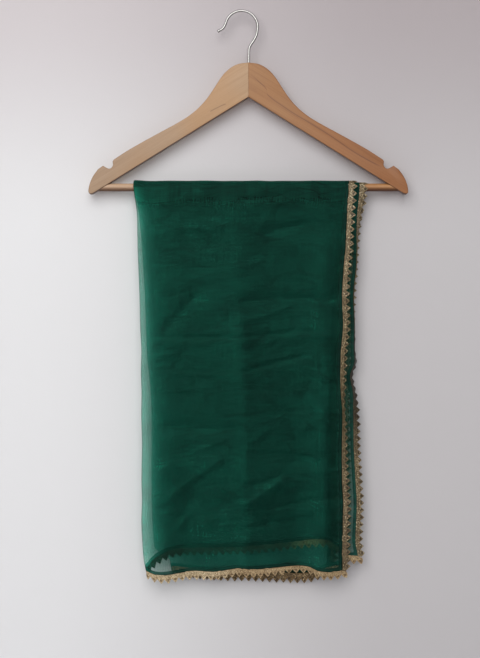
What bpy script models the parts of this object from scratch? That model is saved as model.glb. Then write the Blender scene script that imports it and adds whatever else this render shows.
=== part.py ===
"""Dupatta stole, folded in half lengthwise and hung over the bar of a wooden hanger.

Lengths are in millimetres and become metres where a mesh is made. Widths across the
stole are measured from the seam in the middle of the hanger, and drops are measured
down from the centre of the bar. The origin is under the round of the hook.
"""

import math

import bmesh
import bpy
import numpy as np
from mathutils import Matrix, Vector

METRES = 0.001

# Gap kept between pieces that touch
GAP = 0.3

# Largest angle between faces that are shaded as one, in degrees
HARD_PIECE_ANGLE = 35.0
SHEET_ANGLE = 60.0

# Hanger
WIRE_DIAMETER = 3.5
HOOK_RADIUS = 22.6
HANGER_SEAM_X = 9.4
STEM_X = 10.2
HEAD_TOP_Z = -71.0
STEM_IN_WOOD = 22.0
SOCKET_SIDES = 12
BAR_CENTRE_Z = -245.0
BAR_DIAMETER = 11.0
BAR_SIDES = 20
ARM_DEPTH = 13.0
ARM_EDGE_ROUNDING = 1.6
HEAD_UNDERSIDE_HEIGHT = 125.0
UNDERSIDE_SLOPE = -0.62
UNDERSIDE_REACH = 212.0

# Cloth and lace
CLOTH_WALL = 1.2
LAYER_SPACING = 2.1
FOLD_SPACING = 4.2
FOLD_SPACING_AT_BAR = 3.0
FOLD_FADE = 14.0
FOLD_WIDENS_OVER = 0.125
CREASES_FULL_FROM = 45.0
BAR_EASE = 0.5
INNER_FALL_OFFSET = BAR_DIAMETER / 2 + GAP + BAR_EASE + CLOTH_WALL / 2
ARC_ANGLES = (90.0, 68.0, 45.0, 22.0)
FALL_SECTIONS = 27
LONGEST_DROP = 543.0
FOLD_STEPS = 4
LACE_GAP = 0.45
LACE_BAND = 5.6
LACE_TOOTH = 5.9
LACE_PITCH = 10.0
LACE_WALL = 1.0
SHORTEST_TOOTH = 0.6

# Columns: distance from the seam, height above the bar's centre
ARM_TOP = (
    (0.0, 173.5),
    (14.5, 171.2),
    (26.0, 165.0),
    (36.5, 154.5),
    (46.5, 139.5),
    (57.0, 124.0),
    (69.0, 110.5),
    (83.0, 99.0),
    (100.0, 88.5),
    (124.0, 75.5),
    (148.0, 62.3),
    (168.0, 50.8),
    (187.5, 38.2),
)
ARM_NOTCH = (
    (188.9, 35.6),
    (188.5, 30.6),
    (190.9, 26.6),
    (194.6, 25.8),
    (198.6, 27.6),
    (202.2, 29.8),
)
ARM_END = (
    (209.3, 24.8),
    (216.3, 15.0),
    (220.8, 4.6),
    (222.6, -5.4),
    (220.8, -9.4),
    (216.6, -9.2),
)

# Columns: x and z of the wire's centre below the round of the hook, from the wood up
HOOK_NECK = (
    (STEM_X, HEAD_TOP_Z - STEM_IN_WOOD),
    (STEM_X, HEAD_TOP_Z),
    (STEM_X + 0.1, -60.0),
    (STEM_X + 0.5, -51.5),
    (12.8, -46.1),
    (17.1, -39.8),
    (20.9, -32.3),
)
HOOK_ROUND_FROM = -13.0
HOOK_ROUND_TO = 166.0
HOOK_ROUND_STEPS = 14
HOOK_TIP = (
    (-24.6, -21.2),
    (-28.0, -24.4),
    (-31.4, -26.2),
    (-33.6, -27.9),
)

# Columns: drop, x of the left fold, x of the outer layer's edge, x of the inner layer's edge
FRONT_WIDTHS = (
    (-8.0, -161.0, 141.0, 156.2),
    (18.0, -157.4, 139.0, 154.6),
    (38.0, -154.8, 137.8, 152.4),
    (63.0, -154.2, 136.4, 151.4),
    (88.0, -153.7, 135.2, 151.9),
    (112.0, -152.8, 133.0, 150.8),
    (150.0, -151.2, 130.8, 147.2),
    (193.0, -150.3, 132.0, 148.4),
    (229.0, -148.6, 129.0, 147.8),
    (245.0, -149.0, 128.6, 148.4),
    (262.0, -149.2, 128.4, 142.4),
    (288.0, -148.3, 129.2, 146.6),
    (315.0, -148.7, 131.4, 147.0),
    (360.0, -147.8, 130.6, 147.6),
    (410.0, -148.4, 130.8, 150.2),
    (440.0, -147.8, 132.3, 151.8),
    (467.0, -148.5, 131.7, 151.0),
    (494.0, -147.4, 131.3, 150.2),
    (519.0, -145.4, 131.1, 154.4),
    (535.0, -142.4, 131.0, 155.0),
)
BACK_WIDTHS = (
    (-8.0, -161.0, 141.0, 156.2),
    (40.0, -152.9, 132.0, 149.0),
    (144.0, -145.4, 124.0, 141.0),
    (228.0, -142.3, 121.0, 137.0),
    (298.0, -136.2, 117.5, 134.5),
    (437.0, -135.5, 116.8, 133.5),
    (505.0, -132.0, 116.5, 133.0),
    (548.0, -116.0, 112.0, 130.0),
)

# Columns: x, drop of the hem at that x
FRONT_OUTER_HEM = (
    (-145.0, 534.0),
    (-133.0, 539.0),
    (-121.0, 540.0),
    (-97.0, 536.6),
    (-80.0, 534.7),
    (-50.0, 535.6),
    (-38.0, 533.4),
    (-20.0, 530.4),
    (0.0, 531.8),
    (28.0, 530.1),
    (58.0, 527.5),
    (75.0, 527.2),
    (85.0, 528.8),
    (95.0, 533.6),
    (112.0, 535.6),
    (131.0, 533.4),
)
FRONT_INNER_HEM = (
    (-145.0, 529.0),
    (-136.0, 518.5),
    (-126.0, 511.5),
    (-107.0, 503.9),
    (-40.0, 501.2),
    (0.0, 499.4),
    (43.0, 495.8),
    (80.0, 491.6),
    (107.0, 491.0),
    (124.0, 500.0),
    (137.0, 511.8),
    (155.0, 514.4),
)
BACK_OUTER_HEM = (
    (-116.0, 532.0),
    (-60.0, 538.5),
    (0.0, 541.0),
    (60.0, 543.2),
    (88.0, 541.8),
    (112.0, 534.0),
)
BACK_INNER_HEM = (
    (-116.0, 530.0),
    (-60.0, 535.5),
    (0.0, 538.2),
    (60.0, 540.0),
    (88.0, 538.4),
    (112.0, 531.6),
    (130.0, 528.0),
)

# The lengthwise press crease, as drop and x of its ridge
PRESS_CREASE = (
    (0.0, -7.6),
    (26.0, -7.4),
    (88.0, -12.4),
    (190.0, -10.2),
    (260.0, -7.4),
    (290.0, -5.0),
    (405.0, -3.2),
    (540.0, -2.2),
)
PRESS_HEIGHT = 3.2
PRESS_FADE = 34.0

# Soft creases of the front: x and drop of each end, and height, with troughs negative
FRONT_CREASES = (
    (-80.0, 75.0, -25.0, 79.0, -1.2),
    (30.0, 61.0, 106.0, 58.0, -1.2),
    (-112.0, 192.0, -75.0, 153.0, -1.4),
    (-11.0, 161.0, 119.0, 155.0, -1.5),
    (-129.0, 208.0, -11.0, 211.0, 1.6),
    (-11.0, 213.0, 127.0, 199.0, 1.6),
    (-5.0, 257.0, 77.0, 240.0, 1.5),
    (-129.0, 261.0, -30.0, 263.0, -1.4),
    (-129.0, 332.0, -20.0, 337.0, -1.5),
    (0.0, 365.0, 119.0, 383.0, -1.6),
    (-128.0, 395.0, -46.0, 383.0, 1.5),
    (0.0, 438.0, 70.0, 405.0, 1.5),
    (-120.0, 454.0, -50.0, 453.0, -1.3),
)
BACK_CREASES = (
    (-110.0, 92.0, -20.0, 84.0, -1.3),
    (10.0, 128.0, 104.0, 121.0, 1.4),
    (-104.0, 190.0, -8.0, 197.0, 1.6),
    (-8.0, 206.0, 100.0, 214.0, 1.4),
    (-96.0, 268.0, -24.0, 258.0, -1.4),
    (4.0, 300.0, 98.0, 290.0, -1.5),
    (-100.0, 352.0, 10.0, 361.0, 1.5),
    (16.0, 402.0, 96.0, 420.0, -1.5),
    (-98.0, 448.0, -10.0, 436.0, -1.3),
)
CREASE_HALF_WIDTH = 12.0
CREASE_END_FADE = 14.0

# Columns: x, how far the hem stands away from the bar's side, outward positive
FRONT_HEM_WAVES = (
    (-150.0, 0.0),
    (-122.0, 2.6),
    (-82.0, -0.8),
    (-40.0, 1.0),
    (28.0, 0.4),
    (70.0, -1.4),
    (104.0, 2.2),
    (131.0, 0.2),
    (160.0, -0.6),
)
BACK_HEM_WAVES = (
    (-150.0, 0.4),
    (-90.0, 2.0),
    (-30.0, -0.8),
    (40.0, 2.2),
    (86.0, -1.0),
    (135.0, 1.2),
)

# How far the lace of a long edge swings out of the front's plane, as drop and degrees
OUTER_LACE_SWING = (
    (0.0, 0.0),
    (90.0, 16.0),
    (200.0, 24.0),
    (248.0, 45.0),
    (276.0, 47.0),
    (300.0, 66.0),
    (337.0, 50.0),
    (396.0, 40.0),
    (437.0, 25.0),
    (500.0, 4.0),
    (520.0, 0.0),
)
INNER_LACE_SWING = (
    (0.0, 0.0),
    (20.0, 18.0),
    (54.0, 60.0),
    (86.0, 86.0),
    (142.0, 88.0),
    (220.0, 80.0),
    (256.0, 66.0),
    (292.0, 55.0),
    (312.0, 36.0),
    (367.0, 28.0),
    (520.0, 24.0),
)

# Where the columns of points lie in the outer layer, from the fold at 0 to its edge at 1.
# The inner layer is wider, and has its columns behind the outer layer's and one more.
OUTER_COLUMNS = (1.0, 0.94, 0.85, 0.75, 0.65, 0.57, 0.51, 0.45, 0.35, 0.24, 0.13, 0.04)
OUTER_TO_INNER_WIDTH = 0.926
INNER_COLUMNS = (*(c * OUTER_TO_INNER_WIDTH for c in reversed(OUTER_COLUMNS)), 1.0)


def read(rows, at, column=1):
    """Smooth value of one column of a table, at a value of its first column."""
    keys = [row[0] for row in rows]
    values = [row[column] for row in rows]
    if at <= keys[0]:
        return values[0]
    if at >= keys[-1]:
        return values[-1]
    k = max(i for i in range(len(keys) - 1) if keys[i] <= at)
    span = keys[k + 1] - keys[k]
    t = (at - keys[k]) / span
    before, after = max(k - 1, 0), min(k + 2, len(keys) - 1)
    slope_in = (values[k + 1] - values[before]) / (keys[k + 1] - keys[before]) * span
    slope_out = (values[after] - values[k]) / (keys[after] - keys[k]) * span
    return (
        (2 * t**3 - 3 * t**2 + 1) * values[k]
        + (t**3 - 2 * t**2 + t) * slope_in
        + (3 * t**2 - 2 * t**3) * values[k + 1]
        + (t**3 - t**2) * slope_out
    )


def smooth_route(points, steps):
    """Points on a Catmull-Rom curve through the given points, ends included."""
    route = [np.array(p, float) for p in points]
    ends = [2 * route[0] - route[1], *route, 2 * route[-1] - route[-2]]
    found = []
    for a, b, c, d in zip(ends, ends[1:], ends[2:], ends[3:]):
        for i in range(steps):
            t = i / steps
            found.append(
                0.5
                * (
                    2 * b
                    + (c - a) * t
                    + (2 * a - 5 * b + 4 * c - d) * t**2
                    + (3 * b - a - 3 * c + d) * t**3
                )
            )
    return [*found, route[-1]]


def make_material(name, colour, roughness, metallic=0.0):
    material = bpy.data.materials.new(name)
    material.use_nodes = True
    shader = material.node_tree.nodes["Principled BSDF"]
    shader.inputs["Base Color"].default_value = (*colour, 1.0)
    shader.inputs["Roughness"].default_value = roughness
    shader.inputs["Metallic"].default_value = metallic
    return material


def add_object(name, data, material):
    piece = bpy.data.objects.new(name, data)
    bpy.context.collection.objects.link(piece)
    data.materials.append(material)
    return piece


def finish_mesh(name, work, material, smooth_angle):
    """Turns a bmesh in millimetres into an object in metres, shaded smooth."""
    bmesh.ops.recalc_face_normals(work, faces=work.faces[:])
    bmesh.ops.scale(work, vec=(METRES,) * 3, verts=work.verts[:])
    mesh = bpy.data.meshes.new(name)
    work.to_mesh(mesh)
    work.free()
    mesh.shade_smooth()
    mesh.set_sharp_from_angle(angle=math.radians(smooth_angle))
    return add_object(name, mesh, material)


def underside_height(reach):
    return HEAD_UNDERSIDE_HEIGHT + UNDERSIDE_SLOPE * reach


def arm_outline():
    """Outline of one arm, with the seam at x = 0 and the bar's centre at height 0."""
    top = smooth_route(ARM_TOP, 3)
    notch = smooth_route(ARM_NOTCH, 2)
    end = smooth_route(ARM_END, 2)
    underside = [
        (UNDERSIDE_REACH, underside_height(UNDERSIDE_REACH)),
        (0.0, HEAD_UNDERSIDE_HEIGHT),
    ]
    return [*top, *notch, *end, *underside]


def make_arm(name, side, material, socket):
    """One arm of the hanger, cut from a board, with side -1 on the left and 1 on the right."""
    work = bmesh.new()
    rim = []
    for across, height in arm_outline():
        x = HANGER_SEAM_X + side * max(across, GAP / 2)
        rim.append(work.verts.new((x, -ARM_DEPTH / 2, BAR_CENTRE_Z + height)))
    face = work.faces.new(rim)
    made = bmesh.ops.extrude_face_region(work, geom=[face])
    moved = [v for v in made["geom"] if isinstance(v, bmesh.types.BMVert)]
    bmesh.ops.translate(work, verts=moved, vec=(0.0, ARM_DEPTH, 0.0))
    board_edges = [e for e in work.edges if abs(e.verts[0].co.y - e.verts[1].co.y) < GAP]
    bmesh.ops.recalc_face_normals(work, faces=work.faces[:])
    bmesh.ops.bevel(
        work,
        geom=board_edges,
        offset=ARM_EDGE_ROUNDING,
        affect="EDGES",
        segments=2,
        profile=0.5,
        material=-1,
        clamp_overlap=True,
    )
    bmesh.ops.remove_doubles(work, verts=work.verts[:], dist=0.001)
    arm = finish_mesh(name, work, material, HARD_PIECE_ANGLE)
    cut = arm.modifiers.new("hook socket", "BOOLEAN")
    cut.operation = "DIFFERENCE"
    cut.object = socket
    return arm


def make_socket():
    """Cutter for the hole that the hook's stem goes down into."""
    work = bmesh.new()
    radius = WIRE_DIAMETER / 2 + GAP
    depth = STEM_IN_WOOD + GAP
    bmesh.ops.create_cone(
        work,
        cap_ends=True,
        segments=SOCKET_SIDES,
        radius1=radius,
        radius2=radius,
        depth=2 * depth,
    )
    bmesh.ops.translate(work, verts=work.verts[:], vec=(STEM_X, 0.0, HEAD_TOP_Z))
    cutter = finish_mesh("hook_socket_cutter", work, bpy.data.materials["steel"], HARD_PIECE_ANGLE)
    cutter.hide_render = True
    cutter.display_type = "WIRE"
    return cutter


def make_bar(material):
    """Round bar between the arms, its ends cut to the slope of their undersides."""
    work = bmesh.new()
    bmesh.ops.create_cone(
        work,
        cap_ends=True,
        segments=BAR_SIDES,
        radius1=BAR_DIAMETER / 2,
        radius2=BAR_DIAMETER / 2,
        depth=3 * UNDERSIDE_REACH,
    )
    upright = Matrix.Rotation(math.radians(90.0), 3, "Y")
    bmesh.ops.rotate(work, verts=work.verts[:], cent=(0.0, 0.0, 0.0), matrix=upright)
    for side in (-1, 1):
        along = Vector((side, 0.0, UNDERSIDE_SLOPE)).normalized()
        outward = Vector((side * abs(along.z), 0.0, abs(along.x)))
        reach = HEAD_UNDERSIDE_HEIGHT / -UNDERSIDE_SLOPE
        seat = Vector((side * reach, 0.0, 0.0)) - GAP * outward
        geometry = [*work.verts, *work.edges, *work.faces]
        cut = bmesh.ops.bisect_plane(
            work,
            geom=geometry,
            plane_co=seat,
            plane_no=outward,
            clear_outer=True,
        )
        rim = [e for e in cut["geom_cut"] if isinstance(e, bmesh.types.BMEdge)]
        bmesh.ops.edgeloop_fill(work, edges=rim)
    bmesh.ops.translate(work, verts=work.verts[:], vec=(HANGER_SEAM_X, 0.0, BAR_CENTRE_Z))
    return finish_mesh("hanger_bar", work, material, HARD_PIECE_ANGLE)


def hook_route():
    """Centre line of the hook's wire, from its foot in the wood to its free tip."""
    centre_z = WIRE_DIAMETER / 2 - HOOK_RADIUS
    points = [*HOOK_NECK]
    for i in range(HOOK_ROUND_STEPS + 1):
        share = i / HOOK_ROUND_STEPS
        angle = math.radians(HOOK_ROUND_FROM + share * (HOOK_ROUND_TO - HOOK_ROUND_FROM))
        points.append((HOOK_RADIUS * math.cos(angle), centre_z + HOOK_RADIUS * math.sin(angle)))
    points.extend(HOOK_TIP)
    return smooth_route(points, 2)


def make_hook(material):
    wire = bpy.data.curves.new("hanger_hook", "CURVE")
    wire.dimensions = "3D"
    wire.bevel_depth = WIRE_DIAMETER / 2 * METRES
    wire.bevel_resolution = 3
    wire.use_fill_caps = True
    route = hook_route()
    spline = wire.splines.new("POLY")
    spline.points.add(len(route) - 1)
    for point, (x, z) in zip(spline.points, route):
        point.co = (x * METRES, 0.0, z * METRES, 1.0)
    return add_object("hanger_hook", wire, material)


def crease_height(creases, x, drop):
    """Sum of the soft creases at one place: a bell across each and a fade at its ends."""
    total = 0.0
    for x0, drop0, x1, drop1, height in creases:
        along = np.array((x1 - x0, drop1 - drop0))
        length = float(np.hypot(*along))
        along = along / length
        here = np.array((x - x0, drop - drop0))
        run = float(here @ along)
        aside = float(here[0] * along[1] - here[1] * along[0])
        past = max(-run, run - length, 0.0)
        total += height * math.exp(-((aside / CREASE_HALF_WIDTH) ** 2)) * math.exp(
            -((past / CREASE_END_FADE) ** 2)
        )
    return total


def fall_depth(front, x, drop):
    """How far the inner layer stands from the bar's middle plane, for either fall."""
    creases = FRONT_CREASES if front else BACK_CREASES
    waves = FRONT_HEM_WAVES if front else BACK_HEM_WAVES
    ease = min(max(drop, 0.0) / CREASES_FULL_FROM, 1.0)
    ridge = PRESS_HEIGHT * math.exp(-abs(x - read(PRESS_CREASE, drop)) / PRESS_FADE)
    depth = INNER_FALL_OFFSET + ease * (ridge + crease_height(creases, x, drop))
    return depth + read(waves, x) * (drop / LONGEST_DROP) ** 2


def layer_spacing(from_fold, share):
    widened = min(share / FOLD_WIDENS_OVER, 1.0)
    at_fold = FOLD_SPACING_AT_BAR + (FOLD_SPACING - FOLD_SPACING_AT_BAR) * widened
    return LAYER_SPACING + (at_fold - LAYER_SPACING) * math.exp(-((from_fold / FOLD_FADE) ** 2))


def fall_grid(front):
    """Mid-surface points of one fall as rows from the crest down and columns round the fold."""
    side = -1.0 if front else 1.0
    widths = FRONT_WIDTHS if front else BACK_WIDTHS
    outer_hem = FRONT_OUTER_HEM if front else BACK_OUTER_HEM
    inner_hem = FRONT_INNER_HEM if front else BACK_INNER_HEM
    fold_drop = outer_hem[0][1]

    def spot(column, share, drop_share):
        """x, drop and stand-off of a point: column is (layer, place), share runs down the fall."""
        layer, place = column
        hem = {"outer": outer_hem, "inner": inner_hem}.get(layer)
        fold_x = read(widths, share * fold_drop)
        if layer == "fold":
            spacing = layer_spacing(0.0, share)
            angle = math.radians(90.0 - 180.0 * place)
            x = fold_x + spacing / 2 * (1 - math.cos(angle))
            bottom = outer_hem[0][1] + place * (inner_hem[0][1] - outer_hem[0][1])
            lift = spacing / 2 * (1 + math.sin(angle))
        else:
            edge = 2 if layer == "outer" else 3
            bottom_edge_x = read(widths, hem[-1][1], edge)
            edge_x = read(widths, share * hem[-1][1], edge)
            start = fold_x + layer_spacing(0.0, share) / 2
            x = start + place * (edge_x - start)
            bottom_x = outer_hem[0][0] + place * (bottom_edge_x - outer_hem[0][0])
            bottom = read(hem, bottom_x)
            lift = layer_spacing(x - start, share) if layer == "outer" else 0.0
        drop = share * bottom
        return x, drop, fall_depth(front, x, drop) + lift

    columns = [("outer", place) for place in OUTER_COLUMNS]
    columns += [("fold", i / FOLD_STEPS) for i in range(FOLD_STEPS + 1)]
    columns += [("inner", place) for place in INNER_COLUMNS]
    rows = []
    for angle in ARC_ANGLES:
        row = []
        for column in columns:
            x, _, offset = spot(column, 0.0, 0.0)
            turned = math.radians(angle)
            row.append((x, side * offset * math.cos(turned), offset * math.sin(turned)))
        rows.append(row)
    for i in range(FALL_SECTIONS + 1):
        share = i / FALL_SECTIONS
        row = []
        for column in columns:
            x, drop, offset = spot(column, share, share)
            row.append((x, side * offset, -drop))
        rows.append(row)
    grid = np.array(rows)
    grid[0, :, 1] += side * GAP / 2
    return grid


def mesh_of_sheet(name, points, faces, thickness, material):
    """A sheet from its middle surface, given its wall by a Solidify modifier."""
    work = bmesh.new()
    verts = [work.verts.new(p) for p in points]
    for corners in faces:
        work.faces.new([verts[i] for i in corners])
    bmesh.ops.translate(work, verts=work.verts[:], vec=(HANGER_SEAM_X, 0.0, BAR_CENTRE_Z))
    sheet = finish_mesh(name, work, material, SHEET_ANGLE)
    wall = sheet.modifiers.new("wall", "SOLIDIFY")
    wall.thickness = thickness * METRES
    wall.offset = 0.0
    return sheet


def make_fall(name, grid, material):
    """One fall of the stole: both layers and the fold that joins them, as one wall."""
    rows, columns = grid.shape[:2]
    faces = []
    for r in range(rows - 1):
        for c in range(columns - 1):
            here = r * columns + c
            faces.append((here, here + 1, here + columns + 1, here + columns))
    return mesh_of_sheet(name, grid.reshape(-1, 3), faces, CLOTH_WALL, material)


def tooth_groups(edge):
    """Splits an edge line into runs of about one lace tooth each, keeping the line's corners."""
    groups = []
    run = [edge[0]]
    for here, after in zip(edge, edge[1:]):
        length = float(np.linalg.norm(after[0] - here[0]))
        count = max(round(length / LACE_PITCH), 1)
        for i in range(1, count + 1):
            share = i / count
            run.append([a + (b - a) * share for a, b in zip(here, after)])
            gone = sum(float(np.linalg.norm(b[0] - a[0])) for a, b in zip(run, run[1:]))
            if gone > SHORTEST_TOOTH * LACE_PITCH:
                groups.append(run)
                run = [run[-1]]
    if len(run) > 1:
        groups[-1].extend(run[1:])
    return groups


def run_middle(run):
    """The place halfway along a run of the edge line."""
    steps = [float(np.linalg.norm(b[0] - a[0])) for a, b in zip(run, run[1:])]
    left = sum(steps) / 2
    for (here, _), (after, _), step in zip(run, run[1:], steps):
        if left <= step:
            return here + (after - here) * (left / step)
        left -= step
    return run[-1][0]


def with_outward(border, outward):
    """Pairs of border point and outward step: a unit step, and how far it starts to clear a slope."""
    edge = []
    for i, (place, out) in enumerate(zip(border, outward)):
        along = border[min(i + 1, len(border) - 1)] - border[max(i - 1, 0)]
        along = along / np.linalg.norm(along)
        out = out / np.linalg.norm(out)
        square = math.sqrt(1.0 - float(out @ along) ** 2)
        edge.append([place + out * LACE_GAP / square, out])
    return edge


def make_lace(name, border, outward, material):
    """A lace strip along a border: a plain band next to the cloth and a row of pointed teeth."""
    edge = with_outward(border, outward)
    points, faces = [], []
    last = None
    for run in tooth_groups(edge):
        inner, outer = [], []
        for k, (place, out) in enumerate(run):
            if k == 0 and last is not None:
                inner.append(last[0])
                outer.append(last[1])
                continue
            points.extend([place, place + out * LACE_BAND])
            inner.append(len(points) - 2)
            outer.append(len(points) - 1)
        last = (inner[-1], outer[-1])
        middle = run_middle(run)
        out = run[0][1] + run[-1][1]
        points.append(middle + out / np.linalg.norm(out) * (LACE_BAND + LACE_TOOTH))
        tip = len(points) - 1
        for k in range(len(run) - 1):
            faces.append((inner[k], inner[k + 1], outer[k + 1], outer[k]))
            faces.append((outer[k], outer[k + 1], tip))
    return mesh_of_sheet(name, points, faces, LACE_WALL, material)


def swung(line, outward, swing, toward):
    """A border and its outward directions, turned about it, to the front with toward -1.

    The border moves out a little with the turn, so that the lace clears the cloth's edge.
    """
    border, turned = [], []
    for i, (place, out) in enumerate(zip(line, outward)):
        along = line[min(i + 1, len(line) - 1)] - line[max(i - 1, 0)]
        out = out / np.linalg.norm(out)
        across = np.cross(along, out)
        across = across / np.linalg.norm(across) * (toward if across[1] > 0 else -toward)
        angle = math.radians(read(swing, -place[2]))
        border.append(place + out * (LACE_WALL / 2 + LACE_GAP) * math.sin(angle))
        turned.append(out * math.cos(angle) + across * math.sin(angle))
    return border, turned


def long_edge(front, back, column, neighbour, swing, toward):
    """Border and outward directions of a long edge, from the front hem over the bar to the back."""
    lines = []
    for grid in (front, back):
        out = grid[:, column] - grid[:, neighbour]
        lines.append((grid[:, column], out))
    (front_line, front_out), (back_line, back_out) = lines
    front_line, front_out = swung(front_line, front_out, swing, toward)
    crest = (front_line[0] + back_line[0]) / 2
    crest_out = front_out[0] + back_out[0]
    border = [*front_line[:0:-1], crest, *back_line[1:]]
    outward = [*front_out[:0:-1], crest_out, *back_out[1:]]
    return border, outward


def main():
    for old in list(bpy.data.objects):
        bpy.data.objects.remove(old, do_unlink=True)

    steel = make_material("steel", (0.62, 0.61, 0.59), 0.22, 1.0)
    wood = make_material("wood", (0.42, 0.24, 0.13), 0.45)
    cloth = make_material("cloth", (0.012, 0.075, 0.05), 0.75)
    lace = make_material("lace", (0.5, 0.36, 0.2), 0.5, 0.3)

    make_hook(steel)
    socket = make_socket()
    make_arm("hanger_arm_left", -1, wood, socket)
    make_arm("hanger_arm_right", 1, wood, socket)
    make_bar(wood)

    front = fall_grid(True)
    back = fall_grid(False)
    make_fall("stole_front_fall", front, cloth)
    make_fall("stole_back_fall", back, cloth)
    outer_edge = long_edge(front, back, 0, 1, OUTER_LACE_SWING, -1)
    inner_edge = long_edge(front, back, -1, -2, INNER_LACE_SWING, 1)
    make_lace("lace_outer_edge", *outer_edge, lace)
    make_lace("lace_inner_edge", *inner_edge, lace)
    make_lace("lace_front_end", front[-1], front[-1] - front[-2], lace)
    make_lace("lace_back_end", back[-1], back[-1] - back[-2], lace)


main()
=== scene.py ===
import math
import random

import bmesh
import bpy
import numpy as np
from mathutils import Matrix, Vector


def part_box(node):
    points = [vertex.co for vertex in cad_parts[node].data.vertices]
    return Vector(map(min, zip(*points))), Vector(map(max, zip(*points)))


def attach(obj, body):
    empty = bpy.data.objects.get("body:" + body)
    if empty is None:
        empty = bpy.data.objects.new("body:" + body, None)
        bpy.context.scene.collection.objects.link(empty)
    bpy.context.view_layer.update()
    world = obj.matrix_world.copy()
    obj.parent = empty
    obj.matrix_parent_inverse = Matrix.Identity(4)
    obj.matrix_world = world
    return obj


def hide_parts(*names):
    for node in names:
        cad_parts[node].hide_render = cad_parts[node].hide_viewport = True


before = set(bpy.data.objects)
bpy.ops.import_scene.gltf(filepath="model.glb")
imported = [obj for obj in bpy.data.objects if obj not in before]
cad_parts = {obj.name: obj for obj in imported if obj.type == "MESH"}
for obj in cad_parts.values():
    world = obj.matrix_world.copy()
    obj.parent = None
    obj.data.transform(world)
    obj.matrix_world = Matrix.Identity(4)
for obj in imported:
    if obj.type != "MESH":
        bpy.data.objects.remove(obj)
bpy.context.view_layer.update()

mm = 0.001
barLow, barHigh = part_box("hanger_bar")
seamX = (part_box("hanger_arm_left")[1].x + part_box("hanger_arm_right")[0].x) / 2 / mm
barZ = (barLow.z + barHigh.z) / 2 / mm
barDiameter = (barHigh.z - barLow.z) / mm
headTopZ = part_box("hanger_arm_left")[1].z / mm


# Shared helpers. Tables give a value for a place along the cloth, smoothly between rows
def tableAt(rows, at, column=1):
    keys = np.array([row[0] for row in rows], float)
    values = np.array([row[column] for row in rows], float)
    order = np.arange(len(keys))
    before = np.maximum(order - 1, 0)
    after = np.minimum(order + 1, len(keys) - 1)
    slopes = (values[after] - values[before]) / (keys[after] - keys[before])
    at = np.clip(at, keys[0], keys[-1])
    k = np.clip(np.searchsorted(keys, at, side="right") - 1, 0, len(keys) - 2)
    span = keys[k + 1] - keys[k]
    t = (at - keys[k]) / span
    fromRow = (2 * t**3 - 3 * t**2 + 1) * values[k] + (t**3 - 2 * t**2 + t) * slopes[k] * span
    toRow = (3 * t**2 - 2 * t**3) * values[k + 1] + (t**3 - t**2) * slopes[k + 1] * span
    return fromRow + toRow


def smoothRoute(points, steps):
    route = [np.array(p, float) for p in points]
    ends = [2 * route[0] - route[1], *route, 2 * route[-1] - route[-2]]
    found = []
    for a, b, c, d in zip(ends, ends[1:], ends[2:], ends[3:]):
        for i in range(steps):
            t = i / steps
            bend = 2 * a - 5 * b + 4 * c - d
            turn = 3 * b - a - 3 * c + d
            found.append(0.5 * (2 * b + (c - a) * t + bend * t**2 + turn * t**3))
    return [*found, route[-1]]


def linear(hexColour):
    parts = [int(hexColour[i : i + 2], 16) / 255 for i in (1, 3, 5)]
    return (*(p / 12.92 if p <= 0.04045 else ((p + 0.055) / 1.055) ** 2.4 for p in parts), 1.0)


def unitRows(vectors):
    return vectors / np.maximum(np.linalg.norm(vectors, axis=-1, keepdims=True), 1e-9)


def newMaterial(name):
    material = bpy.data.materials.new(name)
    material.use_nodes = True
    material.node_tree.nodes.clear()
    return material


# Adds one node: settings are its properties, sockets are values or links by input name
def addNode(material, kind, settings=None, sockets=None):
    tree = material.node_tree
    node = tree.nodes.new(kind)
    for name, value in (settings or {}).items():
        setattr(node, name, value)
    for name, value in (sockets or {}).items():
        if isinstance(value, bpy.types.NodeSocket):
            tree.links.new(value, node.inputs[name])
        else:
            node.inputs[name].default_value = value
    return node


# Short forms for the nodes used most. Each gives what the next node takes
def maths(material, operation, *values):
    node = addNode(material, "ShaderNodeMath", {"operation": operation}, dict(enumerate(values)))
    return node.outputs["Value"]


def remap(material, value, low, high, toLow=0.0, toHigh=1.0, smooth=False):
    settings = {"interpolation_type": "SMOOTHSTEP" if smooth else "LINEAR"}
    sockets = {"Value": value, "From Min": low, "From Max": high, "To Min": toLow, "To Max": toHigh}
    return addNode(material, "ShaderNodeMapRange", settings, sockets).outputs["Result"]


def mixed(material, factor, a, b, blend="MIX", kind="RGBA"):
    settings = {"data_type": kind, "blend_type": blend}
    sockets = {"Factor": factor, "A": a, "B": b}
    return addNode(material, "ShaderNodeMix", settings, sockets).outputs["Result"]


def ramped(material, value, stops):
    node = addNode(material, "ShaderNodeValToRGB", None, {"Fac": value})
    elements = node.color_ramp.elements
    while len(elements) < len(stops):
        elements.new(0.5)
    for element, (place, colour) in zip(elements, stops):
        element.position = place
        element.color = linear(colour)
    return node.outputs["Color"]


def mapped(material, vector, scale, turn=(0.0, 0.0, 0.0)):
    sockets = {"Vector": vector, "Scale": scale, "Rotation": turn}
    return addNode(material, "ShaderNodeMapping", None, sockets).outputs["Vector"]


def noiseAt(material, vector, scale, output="Fac", **sockets):
    sockets = {"Vector": vector, "Scale": scale, **sockets}
    return addNode(material, "ShaderNodeTexNoise", None, sockets).outputs[output]


def cellsAt(material, vector, scale, feature="F1", dimensions="3D", **sockets):
    settings = {"feature": feature, "voronoi_dimensions": dimensions}
    sockets = {"Vector": vector, "Scale": scale, **sockets}
    return addNode(material, "ShaderNodeTexVoronoi", settings, sockets).outputs


def ownPlace(material):
    return addNode(material, "ShaderNodeTexCoord").outputs["Object"]


def splitOf(material, vector):
    return addNode(material, "ShaderNodeSeparateXYZ", None, {"Vector": vector}).outputs


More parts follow.
